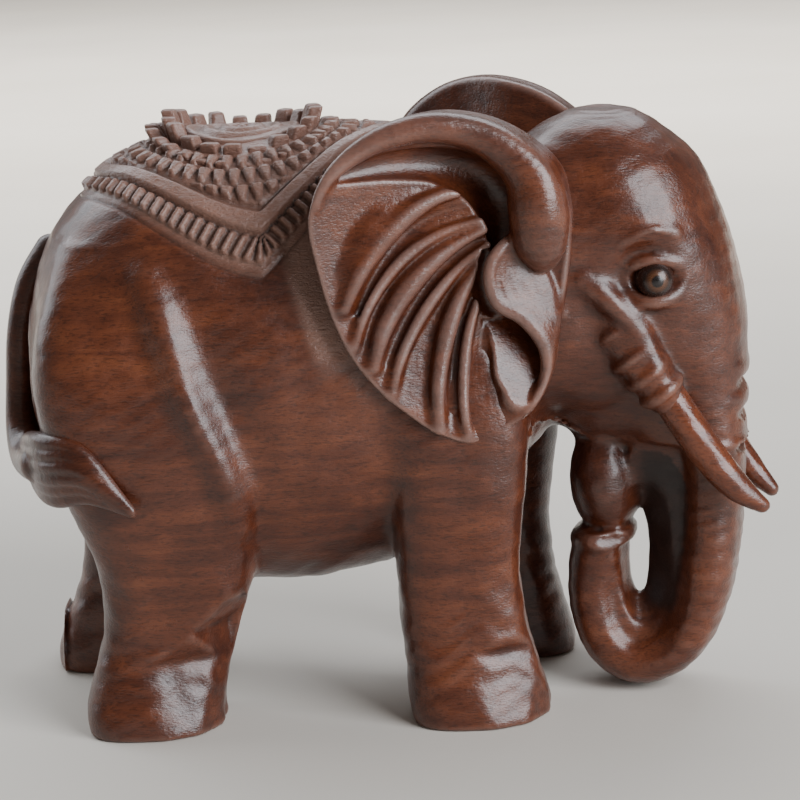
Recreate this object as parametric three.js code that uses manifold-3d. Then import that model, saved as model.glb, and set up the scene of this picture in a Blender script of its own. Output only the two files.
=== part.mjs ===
// A carved wooden elephant: one block of hardwood with set-in ears, tusks, eyes and tail.
// Millimetres, +Z up, +X from the rump to the trunk. The elephant's right side is towards -Y.
// The origin is at the middle of the bounding box, on the surface that the four soles stand on.
import * as THREE from "three";
import { mergeVertices } from "three/addons/utils/BufferGeometryUtils.js";
import Module from "manifold-3d";

const wasm = await Module();
wasm.setup();

// ---- Driving dimensions -------------------------------------------------------------------
const GAP = 0.3; // clearance between the block and each piece set into it
const HEAD_TURN = THREE.MathUtils.degToRad(-12.5); // the head looks a little to its right
const HEAD_PIVOT_X = 20; // the neck, where the head turns

// The torso from rump to neck: x, top, underside, half width.
const TORSO = [
  [-69.4, 74, 60, 7],
  [-68, 85, 50, 16.5],
  [-64.6, 93, 40, 23],
  [-57.4, 101, 33, 28],
  [-46, 107, 27, 31],
  [-30, 109.5, 23.5, 31.5],
  [-14, 109.5, 24, 31],
  [2, 108.5, 28, 29],
  [16, 107, 37, 25],
  [30, 103, 50, 20],
];
const TORSO_POWER = 2.3;

// The head above the trunk, from the crown down: z, back, front, half width.
const HEAD = [
  [111.5, 34, 43, 6],
  [109, 28, 49, 13],
  [103, 22, 55.6, 18.5],
  [95, 20, 61, 21],
  [85, 20, 65, 20],
  [75, 22, 66.8, 17.5],
  [66, 27, 67.2, 14.6],
  [56, 36, 66.4, 10.4],
];
const HEAD_POWER = 2.2;

// The trunk in the head's own plane: x, z, half thickness, half width.
const TRUNK = [
  [55, 68, 11, 11],
  [59.4, 56, 7.4, 10],
  [60.8, 46, 5.8, 9.4],
  [60.6, 34, 5.2, 9.8],
  [58.8, 21, 5.1, 10],
  [53.8, 10.8, 5, 9.6],
  [47, 6, 5.1, 9.2],
  [40.6, 9.4, 5.1, 8.8],
  [37.8, 17.4, 5.1, 8.4],
  [38, 26, 5.1, 7.8],
  [38.8, 30.5, 5.3, 7.6],
];

// Each leg from the sole up: z, back, front, outer side, inner side (right-hand legs).
const FRONT_LEG = [
  [0, 0.8, 26, 30.5, 8.5],
  [4, -0.2, 26.8, 31.2, 8],
  [10, -0.4, 25, 30.6, 8.6],
  [20, -1.2, 22.6, 30, 9],
  [32, -1.6, 21.8, 30, 9],
  [46, -3, 23.5, 30.5, 7],
  [62, -5, 24, 29, 4],
  [74, -1, 19, 25, 4],
];
const HIND_LEG = [
  [0, -60.4, -36.4, 30.5, 8.5],
  [4, -61.2, -35.4, 31.2, 8],
  [10, -59.8, -34.2, 30.6, 8.6],
  [22, -57.2, -30.8, 30, 9],
  [34, -58.2, -27.6, 30.4, 8],
  [48, -64, -24.4, 31.2, 5],
  [62, -67, -24, 31, 4],
  [76, -64, -28, 27, 4],
];
const LEG_POWER = 2.7;
// The left legs stand further out along the stride: shift of the sole and of the top.
const LEFT_FRONT_STRIDE = [7.5, 9];
const LEFT_HIND_STRIDE = [-10.5, -3];

// The saddle blanket: a lozenge with a corner on each flank, in raised layers.
const BLANKET_CENTRE_X = -24;
const BLANKET_HALF_LENGTH = 36;
const BLANKET_HALF_WIDTH = 29;
const BLANKET_RISE = 0.8;
const STRIP_RISE = 1.5;
const STRIP_OUTER = 0.84; // of the blanket's size
const STRIP_INNER = 0.76;
const FRINGE_RISE = 1.5;
const FRINGE_CUTS = 9; // raised strokes on each side of the lozenge
const FRINGE_STROKE = 1.3;
const FRINGE_LENGTH = 5;

// The rosette carved on top of the blanket: rings of upright petals round a stepped boss.
const ROSETTE_X = -26;
const ROSETTE_BASE_Z = 105;
const BOSS_STEPS = [
  [10, 111],
  [7, 112],
  [3.6, 113],
];
const PETAL_RINGS = [
  { radius: 12.6, count: 16, top: 113.6, size: 1.9 },
  { radius: 15.8, count: 14, top: 111.2, size: 1.7 },
];

// Places of the set-in pieces on the right side of the head, in the head's own frame.
const EYE = new THREE.Vector3(51.6, -16.4, 83.2);
const EYE_RADIUS = 3.1;
const EYE_SHANK_RADIUS = 1.2;
const EYE_SHANK_LENGTH = 5;
const LID_TUBE = 1.3;
const TUSK_ROUTE = [
  [50.8, -14.2, 65.5],
  [54.4, -14.4, 59],
  [60.4, -14.4, 50],
  [65.8, -13.9, 43.2],
  [71.6, -13, 38.8],
];
const TUSK_RADII = [2.3, 3.1, 3.4, 2.9, 1.2];
// How much lower each tusk's tip is carved than the route above.
const TUSK_TIP_DROP = { [-1]: 0, 1: 3.9 };
const TUSK_TENON_LENGTH = 7;
const TUSK_TENON_RADIUS = 2;
const SHEATH_RADIUS = 5;
const EAR_PEG = new THREE.Vector3(30, -23.6, 84);
const EAR_PEG_RADIUS = 3;
const EAR_PEG_LENGTH = 10;
// The left ear is folded back towards the neck, about an upright line at its front edge.
const LEFT_EAR_SWING = THREE.MathUtils.degToRad(10);
const EAR_SWING_X = 35;
const EAR_SWING_Y = 24;

// The right ear's outline in the head's own frame: x, y, z round the rim.
const EAR_RIM = [
  [38.2, -24.2, 91.4],
  [37.8, -25.7, 98],
  [35.2, -27.8, 105.4],
  [29.6, -30.6, 110.6],
  [22.6, -33.6, 114.2],
  [13.6, -36.2, 115.6],
  [4.6, -39.4, 113],
  [-3, -41.4, 106.6],
  [-6.6, -42.2, 98],
  [-4.8, -41.8, 87],
  [-0.6, -40.4, 72.4],
  [8, -37.6, 61.6],
  [19.6, -33.2, 55],
  [29.4, -27.6, 60],
  [34, -24.2, 69],
  [35.6, -22.8, 80],
];
const EAR_HUB = new THREE.Vector3(24.5, -25.4, 91);
const EAR_THICKNESS = 2.4;
const EAR_RIM_THICKNESS = 3.6;
const EAR_FOLDS = 13;
const EAR_FOLD_DEPTH = 0.7;
const EAR_FAN_START = 0.3;
const EAR_FAN_SPAN = 0.55;
const EAR_REACH = 30; // about the distance from the hub to the rim
const EAR_SPOKES = 44;
const EAR_RINGS = 5;
const EAR_CURL = [
  [32, -30.6, 109],
  [35.4, -29.4, 103],
  [36.4, -28.6, 95],
  [34.4, -27.6, 87],
];
const EAR_CURL_RADII = [2.2, 3.6, 4.2, 2.6];
const EAR_FLANGE = [
  [27.5, -26.2, 92.5],
  [24, -27.2, 88],
  [24.5, -27.4, 82.5],
  [28.6, -26.4, 78],
  [32.2, -24.8, 73],
  [31.2, -25.8, 64],
];
const EAR_FLANGE_RADII = [1.2, 2, 2.2, 2.2, 2.2, 1.4];

// The tail from its root in the rump to the tip of its tuft, which lies on the right thigh.
const TAIL_ROUTE = [
  [-66, 0, 87.6],
  [-70.4, -1.2, 79],
  [-72.4, -2.2, 68],
  [-73, -3.6, 58],
  [-71.4, -8, 51.4],
  [-66, -17, 50],
  [-59.6, -26.4, 51.2],
  [-54, -32.4, 50.2],
  [-49.4, -34, 45.4],
];
const TAIL_RADII = [2.3, 2.2, 2.2, 2.4, 3.4, 4.4, 4.8, 4, 1.3];
const TAIL_PEG_RADIUS = 1.5;
const TAIL_PEG_LENGTH = 8;

const SIDES = { right: -1, left: 1 }; // the sign of Y on each side

const WOOD = { color: 0x4a2a22, roughness: 0.42, metalness: 0 };
const EYE_FINISH = { color: 0x1c110c, roughness: 0.15, metalness: 0 };

// ---- Solids -------------------------------------------------------------------------------
function solidOf(geometry) {
  const bare = geometry.clone();
  bare.deleteAttribute("normal");
  bare.deleteAttribute("uv");
  const merged = mergeVertices(bare, 1e-4);
  const numbers = {
    numProp: 3,
    vertProperties: new Float32Array(merged.attributes.position.array),
    triVerts: new Uint32Array(merged.index.array),
  };
  return new wasm.Manifold(new wasm.Mesh(numbers));
}

function geometryOf(solid) {
  const mesh = solid.getMesh();
  const geometry = new THREE.BufferGeometry();
  geometry.setAttribute("position", new THREE.BufferAttribute(new Float32Array(mesh.vertProperties), 3));
  geometry.setIndex(new THREE.BufferAttribute(new Uint32Array(mesh.triVerts), 1));
  geometry.computeVertexNormals();
  return geometry;
}

// The volume's sign tells which way a closed mesh's faces point.
function signedVolume(points, triangles) {
  let sum = 0;
  for (const [a, b, c] of triangles) {
    sum += points[a].dot(points[b].clone().cross(points[c]));
  }
  return sum;
}

function closedMesh(points, triangles) {
  const outward = signedVolume(points, triangles) > 0;
  const index = triangles.flatMap(([a, b, c]) => (outward ? [a, b, c] : [a, c, b]));
  const geometry = new THREE.BufferGeometry().setFromPoints(points);
  geometry.setIndex(index);
  return geometry;
}

// A skin over rings of equally many points, closed by a fan at each end.
function loft(rings) {
  const sides = rings[0].length;
  const points = rings.flat();
  const triangles = [];
  for (let row = 0; row + 1 < rings.length; row++) {
    for (let k = 0; k < sides; k++) {
      const a = row * sides + k;
      const b = row * sides + ((k + 1) % sides);
      triangles.push([a, b, a + sides], [b, b + sides, a + sides]);
    }
  }
  for (const row of [0, rings.length - 1]) {
    const middle = new THREE.Vector3();
    rings[row].forEach((point) => middle.addScaledVector(point, 1 / sides));
    const hub = points.push(middle) - 1;
    for (let k = 0; k < sides; k++) {
      const a = row * sides + k;
      const b = row * sides + ((k + 1) % sides);
      triangles.push(row === 0 ? [hub, b, a] : [hub, a, b]);
    }
  }
  return closedMesh(points, triangles);
}

// Rows of numbers, interpolated smoothly to the given number of rows.
function smoothRows(rows, count) {
  const columns = rows[0].length;
  const blend = (a, b, c, d, t) =>
    0.5 * (2 * b + (c - a) * t + (2 * a - 5 * b + 4 * c - d) * t * t + (3 * b - a - 3 * c + d) * t ** 3);
  return Array.from({ length: count }, (_, i) => {
    const place = (i / (count - 1)) * (rows.length - 1);
    const k = Math.min(Math.floor(place), rows.length - 2);
    const near = [k - 1, k, k + 1, k + 2].map((n) => rows[THREE.MathUtils.clamp(n, 0, rows.length - 1)]);
    return Array.from({ length: columns }, (_, c) =>
      blend(near[0][c], near[1][c], near[2][c], near[3][c], place - k),
    );
  });
}

// A superellipse: two coordinates of a ring point at an angle.
function ringPoint(angle, halfA, halfB, power) {
  const cos = Math.cos(angle);
  const sin = Math.sin(angle);
  const a = halfA * Math.sign(cos) * Math.abs(cos) ** (2 / power);
  const b = halfB * Math.sign(sin) * Math.abs(sin) ** (2 / power);
  return [a, b];
}

function ring(sides, place) {
  return Array.from({ length: sides }, (_, k) => place((2 * Math.PI * k) / sides));
}

function ball(x, y, z, rx, ry, rz, across = 14, down = 9) {
  const geometry = new THREE.SphereGeometry(1, across, down);
  geometry.scale(rx, ry, rz).translate(x, y, z);
  return solidOf(geometry);
}

// A round bar from one point to another.
function bar(from, to, radius, sides = 16) {
  const along = new THREE.Vector3().subVectors(to, from);
  const geometry = new THREE.CylinderGeometry(radius, radius, along.length(), sides);
  const turn = new THREE.Quaternion().setFromUnitVectors(new THREE.Vector3(0, 1, 0), along.clone().normalize());
  geometry.applyQuaternion(turn);
  geometry.translate(...from.clone().add(to).multiplyScalar(0.5));
  return solidOf(geometry);
}

// A round bar with a changing radius along a smooth route, with a rounded far end.
function taperedBar(route, radii, steps, sides, grow = 0) {
  const curve = new THREE.CatmullRomCurve3(route.map((p) => new THREE.Vector3(...p)));
  const frames = curve.computeFrenetFrames(steps);
  const sizes = smoothRows(radii.map((r) => [r]), steps + 1);
  const rings = sizes.map(([radius], i) => {
    const centre = curve.getPointAt(i / steps);
    return ring(sides, (angle) =>
      centre
        .clone()
        .addScaledVector(frames.normals[i], Math.cos(angle) * (radius + grow))
        .addScaledVector(frames.binormals[i], Math.sin(angle) * (radius + grow)),
    );
  });
  return solidOf(loft(rings));
}

const joined = (solids) => solids.reduce((all, solid) => all.add(solid));

// Both sides' copies of a place given on the right side.
const onSide = (point, side) => new THREE.Vector3(point.x, point.y * side, point.z);

// ---- The block ----------------------------------------------------------------------------
function torso(grow = 0) {
  const rows = smoothRows(TORSO, 19);
  const rings = rows.map(([x, top, under, half]) =>
    ring(24, (angle) => {
      const [y, z] = ringPoint(angle, half + grow, (top - under) / 2 + grow, TORSO_POWER);
      return new THREE.Vector3(x, y, (top + under) / 2 + z);
    }),
  );
  return solidOf(loft(rings));
}

function leg(rows, side, stride) {
  const height = rows.at(-1)[0];
  const rings = smoothRows(rows, 10).map(([z, back, front, outer, inner]) =>
    ring(14, (angle) => {
      const [x, y] = ringPoint(angle, (front - back) / 2, (outer - inner) / 2, LEG_POWER);
      const shift = THREE.MathUtils.lerp(stride[0], stride[1], z / height);
      return new THREE.Vector3((front + back) / 2 + x + shift, side * ((outer + inner) / 2 + y), z);
    }),
  );
  return solidOf(loft(rings));
}

function skull() {
  const rings = smoothRows(HEAD, 11).map(([z, back, front, half]) =>
    ring(20, (angle) => {
      const [x, y] = ringPoint(angle, (front - back) / 2, half, HEAD_POWER);
      return new THREE.Vector3((front + back) / 2 + x, y, z);
    }),
  );
  return solidOf(loft(rings));
}

function trunk() {
  const curve = new THREE.CatmullRomCurve3(TRUNK.map(([x, z]) => new THREE.Vector3(x, 0, z)));
  const steps = 22;
  const sizes = smoothRows(TRUNK, steps + 1);
  const rings = sizes.map(([, , thick, wide], i) => {
    const t = i / steps;
    const centre = curve.getPoint(t);
    const along = curve.getTangent(t);
    const out = new THREE.Vector3(along.z, 0, -along.x);
    return ring(14, (angle) => {
      const [a, y] = ringPoint(angle, thick, wide, HEAD_POWER);
      return centre.clone().addScaledVector(out, a).add(new THREE.Vector3(0, y, 0));
    });
  });
  return solidOf(loft(rings));
}

function face(side) {
  const cheek = ball(41, side * 10.5, 68, 12, 9, 14);
  const brow = ball(50, side * 13.2, 91, 7, 4.4, 3.4);
  const sheath = bar(
    onSide(new THREE.Vector3(46.4, -13.4, 74), side * -1),
    onSide(new THREE.Vector3(52.6, -14.4, 61), side * -1),
    SHEATH_RADIUS,
  );
  const lids = new THREE.TorusGeometry(EYE_RADIUS + GAP + LID_TUBE * 0.7, LID_TUBE, 6, 18);
  lids.rotateX(Math.PI / 2).translate(...onSide(EYE, side * -1));
  const pad = ball(50, side * 13.4, 83.2, 7, 4, 7);
  const earRoot = ball(29, side * 17, 86, 11, 7.4, 21);
  return joined([cheek, brow, sheath, pad, earRoot, solidOf(lids)]);
}

function lip() {
  const bulb = ball(41.6, 0, 42, 6.8, 8, 13.6);
  const chin = ball(40, 0, 56, 9, 10, 9);
  return bulb.add(chin);
}

function head() {
  return joined([skull(), trunk(), lip(), face(1), face(-1)]);
}

// A lozenge-shaped post, a share of the blanket's size.
function lozenge(share) {
  const shape = new THREE.Shape();
  shape.moveTo(BLANKET_HALF_LENGTH * share, 0);
  shape.lineTo(0, BLANKET_HALF_WIDTH * share);
  shape.lineTo(-BLANKET_HALF_LENGTH * share, 0);
  shape.lineTo(0, -BLANKET_HALF_WIDTH * share);
  const post = new THREE.ExtrudeGeometry(shape, { depth: 60, bevelEnabled: false });
  post.translate(BLANKET_CENTRE_X, 0, 68);
  return solidOf(post);
}

// The comb of raised strokes along the four sides of the blanket.
function fringe() {
  const strokes = [];
  const corner = new THREE.Vector2(BLANKET_HALF_LENGTH, 0);
  const flank = new THREE.Vector2(0, BLANKET_HALF_WIDTH);
  const side = flank.clone().sub(corner);
  for (const signX of [1, -1]) {
    for (const signY of [1, -1]) {
      const across = Math.atan2(side.y * signY, side.x * signX) + Math.PI / 2;
      for (let k = 0; k < FRINGE_CUTS; k++) {
        const place = corner.clone().lerp(flank, (k + 1) / (FRINGE_CUTS + 1));
        const stroke = new THREE.BoxGeometry(FRINGE_LENGTH, FRINGE_STROKE, 60);
        stroke.rotateZ(across);
        stroke.translate(BLANKET_CENTRE_X + place.x * signX * 0.93, place.y * signY * 0.93, 98);
        strokes.push(solidOf(stroke));
      }
    }
  }
  return joined(strokes);
}

function blanket() {
  const cloth = torso(BLANKET_RISE).intersect(lozenge(1));
  const strip = torso(STRIP_RISE).intersect(lozenge(STRIP_OUTER).subtract(lozenge(STRIP_INNER)));
  const comb = torso(FRINGE_RISE).intersect(fringe()).intersect(lozenge(1));
  return joined([cloth, strip, comb]);
}

function rosette() {
  const parts = BOSS_STEPS.map(([radius, top]) =>
    bar(new THREE.Vector3(ROSETTE_X, 0, ROSETTE_BASE_Z), new THREE.Vector3(ROSETTE_X, 0, top), radius, 20),
  );
  for (const { radius, count, top, size } of PETAL_RINGS) {
    for (let k = 0; k < count; k++) {
      const angle = (2 * Math.PI * k) / count;
      const x = ROSETTE_X + radius * Math.cos(angle);
      const y = radius * Math.sin(angle);
      const petal = new THREE.CylinderGeometry(size * 0.6, size, top - ROSETTE_BASE_Z, 6);
      petal.rotateX(Math.PI / 2).rotateZ(angle).translate(x, y, (top + ROSETTE_BASE_Z) / 2);
      parts.push(solidOf(petal));
    }
  }
  return joined(parts);
}

// A solid turned about an upright line through (x, y).
function turned(solid, angle, x, y) {
  const geometry = geometryOf(solid);
  geometry.translate(-x, -y, 0).rotateZ(angle).translate(x, y, 0);
  return solidOf(geometry);
}

const inHeadFrame = (solid) => turned(solid, HEAD_TURN, HEAD_PIVOT_X, 0);

// ---- The set-in pieces --------------------------------------------------------------------
function eye(side, grow = 0) {
  const centre = onSide(EYE, -side);
  const radius = EYE_RADIUS + grow;
  const bead = ball(centre.x, centre.y, centre.z, radius, radius, radius, 16, 12);
  const inner = centre.clone().setY(centre.y - side * (EYE_SHANK_LENGTH + grow));
  return bead.add(bar(centre, inner, EYE_SHANK_RADIUS + grow, 12));
}

function tusk(side, grow = 0) {
  const last = TUSK_ROUTE.length - 1;
  const route = TUSK_ROUTE.map(([x, y, z], i) => [x, -side * y, z - (TUSK_TIP_DROP[side] * i) / last]);
  const [root, next] = route.slice(0, 2).map((p) => new THREE.Vector3(...p));
  const inward = root.clone().sub(next).normalize();
  const tenonEnd = root.clone().addScaledVector(inward, TUSK_TENON_LENGTH + grow);
  const tenonStart = root.clone().addScaledVector(inward, -2);
  const tenon = bar(tenonStart, tenonEnd, TUSK_TENON_RADIUS + grow, 12);
  return taperedBar(route, TUSK_RADII, 14, 14, grow).add(tenon);
}

// The fan of shallow folds on the back and lower part of the ear; turn runs 0 to 1 round the rim.
function earFold(turn, share) {
  const onFan = Math.sin(Math.PI * THREE.MathUtils.clamp((turn - EAR_FAN_START) / EAR_FAN_SPAN, 0, 1));
  const wave = Math.cos(turn * 2 * Math.PI * EAR_FOLDS);
  return EAR_FOLD_DEPTH * onFan * Math.sin(Math.PI * share) * wave;
}

// One ring of an ear face, a share of the way from the hub to the rim; facing is -1 outside.
function earRing(rim, share, facing, side, grow) {
  const rounded = share === 1 ? 0.5 : 1;
  const thick = rounded * THREE.MathUtils.lerp(EAR_THICKNESS, EAR_RIM_THICKNESS, share ** 4);
  return ring(EAR_SPOKES, (angle) => {
    const turn = angle / (2 * Math.PI);
    const point = EAR_HUB.clone().lerp(rim.getPoint(turn), share * (1 + grow / EAR_REACH));
    const y = point.y + facing * (thick / 2 + grow) + earFold(turn, share);
    return new THREE.Vector3(point.x, -side * y, point.z);
  });
}

// The ear is a dished sheet: rings of points from its hub to its rim, on two faces.
function earSheet(side, grow) {
  const rim = new THREE.CatmullRomCurve3(EAR_RIM.map((p) => new THREE.Vector3(...p)), true);
  const shares = Array.from({ length: EAR_RINGS }, (_, row) => (row + 1) / EAR_RINGS);
  const outer = shares.map((share) => earRing(rim, share, -1, side, grow));
  const inner = shares.map((share) => earRing(rim, share, 1, side, grow));
  return solidOf(loft([...outer, ...inner.reverse()]));
}

function ear(side, grow = 0) {
  const mirrored = (route) => route.map(([x, y, z]) => [x, -side * y, z]);
  const peg = onSide(EAR_PEG, -side);
  const pegEnd = peg.clone().setY(peg.y - side * (EAR_PEG_LENGTH + grow));
  const made = joined([
    earSheet(side, grow),
    taperedBar(mirrored(EAR_CURL), EAR_CURL_RADII, 10, 12, grow),
    taperedBar(mirrored(EAR_FLANGE), EAR_FLANGE_RADII, 14, 10, grow),
    bar(peg, pegEnd, EAR_PEG_RADIUS + grow),
  ]);
  return side === SIDES.left ? turned(made, LEFT_EAR_SWING, EAR_SWING_X, EAR_SWING_Y) : made;
}

function tail(grow = 0) {
  const root = new THREE.Vector3(...TAIL_ROUTE[0]);
  const inside = root.clone().add(new THREE.Vector3(TAIL_PEG_LENGTH + grow, 0, -TAIL_PEG_LENGTH / 2));
  return taperedBar(TAIL_ROUTE, TAIL_RADII, 22, 10, grow).add(bar(root, inside, TAIL_PEG_RADIUS + grow, 12));
}

// ---- The assembled elephant ---------------------------------------------------------------
const MAKERS = { ear, tusk, eye };

function carvedBody() {
  const block = joined([
    torso(),
    blanket(),
    rosette(),
    leg(FRONT_LEG, SIDES.right, [0, 0]),
    leg(HIND_LEG, SIDES.right, [0, 0]),
    leg(FRONT_LEG, SIDES.left, LEFT_FRONT_STRIDE),
    leg(HIND_LEG, SIDES.left, LEFT_HIND_STRIDE),
    inHeadFrame(head()),
  ]);
  let cut = block.subtract(tail(GAP));
  for (const side of Object.values(SIDES)) {
    for (const make of Object.values(MAKERS)) {
      cut = cut.subtract(inHeadFrame(make(side, GAP)));
    }
  }
  return cut;
}

function addMesh(group, name, solid, finish) {
  const mesh = new THREE.Mesh(geometryOf(solid), new THREE.MeshStandardMaterial(finish));
  mesh.name = name;
  group.add(mesh);
}

const group = new THREE.Group();
addMesh(group, "carved_body", carvedBody(), WOOD);
addMesh(group, "tail", tail(), WOOD);
for (const [sideName, side] of Object.entries(SIDES)) {
  for (const [kind, make] of Object.entries(MAKERS)) {
    const finish = kind === "eye" ? EYE_FINISH : WOOD;
    addMesh(group, `${sideName}_${kind}`, inHeadFrame(make(side)), finish);
  }
}

// The origin goes to the middle of the bounding box, at the height of the soles.
const box = new THREE.Box3().setFromObject(group);
const middle = box.getCenter(new THREE.Vector3());
group.position.set(-middle.x, -middle.y, -box.min.z);

export default group;
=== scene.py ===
"""The looks of a carved wooden elephant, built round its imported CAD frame.

The carver's own units are millimetres, in a frame whose x runs from the rump to the trunk, with z = 0 at
the soles and y = 0 on the torso's midline (right side negative). placed() takes them to the row frame.
Each carved piece is a field of signed distances on a grid, built up and cut by simple shapes, then meshed.
"""

import math

import bmesh
import bpy
import numpy as np
from mathutils import Matrix, Vector


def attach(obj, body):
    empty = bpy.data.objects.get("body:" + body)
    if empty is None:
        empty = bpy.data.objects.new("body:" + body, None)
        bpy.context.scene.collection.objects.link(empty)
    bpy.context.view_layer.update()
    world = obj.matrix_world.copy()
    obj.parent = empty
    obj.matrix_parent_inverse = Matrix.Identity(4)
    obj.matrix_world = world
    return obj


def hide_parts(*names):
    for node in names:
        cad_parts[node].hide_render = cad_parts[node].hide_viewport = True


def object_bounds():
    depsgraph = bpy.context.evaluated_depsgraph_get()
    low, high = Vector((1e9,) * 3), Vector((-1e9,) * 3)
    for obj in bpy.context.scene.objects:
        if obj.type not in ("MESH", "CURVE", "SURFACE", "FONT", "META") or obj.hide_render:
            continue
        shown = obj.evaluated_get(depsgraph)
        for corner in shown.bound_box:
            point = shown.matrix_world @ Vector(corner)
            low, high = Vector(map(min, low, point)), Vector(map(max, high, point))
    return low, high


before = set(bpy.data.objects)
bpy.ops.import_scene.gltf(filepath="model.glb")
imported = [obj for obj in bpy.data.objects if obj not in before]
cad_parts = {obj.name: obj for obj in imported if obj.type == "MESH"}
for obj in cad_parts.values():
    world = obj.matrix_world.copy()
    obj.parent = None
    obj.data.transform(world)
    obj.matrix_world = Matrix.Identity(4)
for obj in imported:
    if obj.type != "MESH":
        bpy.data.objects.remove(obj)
CAD_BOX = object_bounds()

# ---- The carver's frame -------------------------------------------------------------------
CAD_LENGTH = 149.5  # the CAD box's length in carver's millimetres
CAD_MIDDLE = np.array([-0.72, 2.37, 0.0])  # its middle, at the soles
MM = (CAD_BOX[1].x - CAD_BOX[0].x) / CAD_LENGTH
BOX_MIDDLE = np.array([(CAD_BOX[0].x + CAD_BOX[1].x) / 2, (CAD_BOX[0].y + CAD_BOX[1].y) / 2, CAD_BOX[0].z])
HEAD_TURN = math.radians(-12.5)
HEAD_PIVOT_X = 20.0
FAR = 40.0  # millimetres; further than any blend reaches


def placed(points):
    """Carver's millimetres to metres in the row frame."""
    return (np.asarray(points, float) - CAD_MIDDLE) * MM + BOX_MIDDLE


def turn(x, y, angle, pivot_x=HEAD_PIVOT_X, pivot_y=0.0):
    """x and y turned about an upright line."""
    cos = math.cos(angle)
    sin = math.sin(angle)
    across = x - pivot_x
    along = y - pivot_y
    return pivot_x + across * cos - along * sin, pivot_y + across * sin + along * cos


# ---- Shapes: each returns a signed distance in millimetres ----------------------------------
def smooth_rows(rows, count):
    """Rows of numbers, interpolated smoothly to the given number of rows."""
    rows = np.asarray(rows, float)
    last = len(rows) - 1
    place = np.linspace(0, last, count)
    k = np.minimum(place.astype(int), last - 1)
    t = (place - k)[:, None]
    a, b, c, d = (rows[np.clip(k + n, 0, last)] for n in (-1, 0, 1, 2))
    return 0.5 * (2 * b + (c - a) * t + (2 * a - 5 * b + 4 * c - d) * t**2 + (3 * b - a - 3 * c + d) * t**3)


def bent(start, bend, end, sizes, count):
    """Points on the curve that leaves start towards bend and comes from it to end, and a size at each."""
    t = np.linspace(0, 1, count)[:, None]
    points = (1 - t) ** 2 * np.array(start) + 2 * t * (1 - t) * np.array(bend) + t**2 * np.array(end)
    return points, np.interp(t[:, 0], (0, 0.45, 1), sizes)


def smooth_loop(points, steps):
    """A closed smooth line through points, with a number of steps between each two."""
    points = np.asarray(points, float)
    count = len(points)
    place = np.arange(count * steps)
    k = place // steps
    t = (place / steps - k)[:, None]
    a, b, c, d = (points[(k + n) % count] for n in (-1, 0, 1, 2))
    return 0.5 * (2 * b + (c - a) * t + (2 * a - 5 * b + 4 * c - d) * t**2 + (3 * b - a - 3 * c + d) * t**3)


def evened(field, step):
    """An implicit function scaled so that it grows by about one for each millimetre near its surface."""
    slopes = np.gradient(field, step)
    steep = np.sqrt(sum(s * s for s in slopes))
    return np.clip(field / np.maximum(steep, 0.02), -FAR, FAR)


def superellipse(a, b, half_a, half_b, power):
    return ((np.abs(a) / half_a) ** power + (np.abs(b) / half_b) ** power) ** (1 / power) - 1


def ball(x, y, z, centre, radii):
    a = (x - centre[0]) / radii[0]
    b = (y - centre[1]) / radii[1]
    c = (z - centre[2]) / radii[2]
    length = np.sqrt(a * a + b * b + c * c)
    slope = np.sqrt((a / radii[0]) ** 2 + (b / radii[1]) ** 2 + (c / radii[2]) ** 2)
    return length * (length - 1) / np.maximum(slope, 1e-6)


def chain(x, y, z, points, radii, steps=28):
    """A round bar along a smooth line, with a changing radius and rounded ends."""
    line = smooth_rows(points, steps)
    sizes = smooth_rows(np.asarray(radii, float)[:, None], steps)[:, 0]
    best = np.full(np.broadcast(x, y, z).shape, FAR, np.float32)
    for a, b, ra, rb in zip(line[:-1], line[1:], sizes[:-1], sizes[1:]):
        d = b - a
        t = ((x - a[0]) * d[0] + (y - a[1]) * d[1] + (z - a[2]) * d[2]) / max(d @ d, 1e-9)
        t = np.clip(t, 0, 1)
        gap = np.sqrt((x - a[0] - t * d[0]) ** 2 + (y - a[1] - t * d[1]) ** 2 + (z - a[2] - t * d[2]) ** 2)
        np.minimum(best, gap - ra - t * (rb - ra), out=best)
    return best


def smooth_min(a, b, k):
    h = np.clip(0.5 + 0.5 * (b - a) / k, 0, 1)
    return b + (a - b) * h - k * h * (1 - h)


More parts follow.
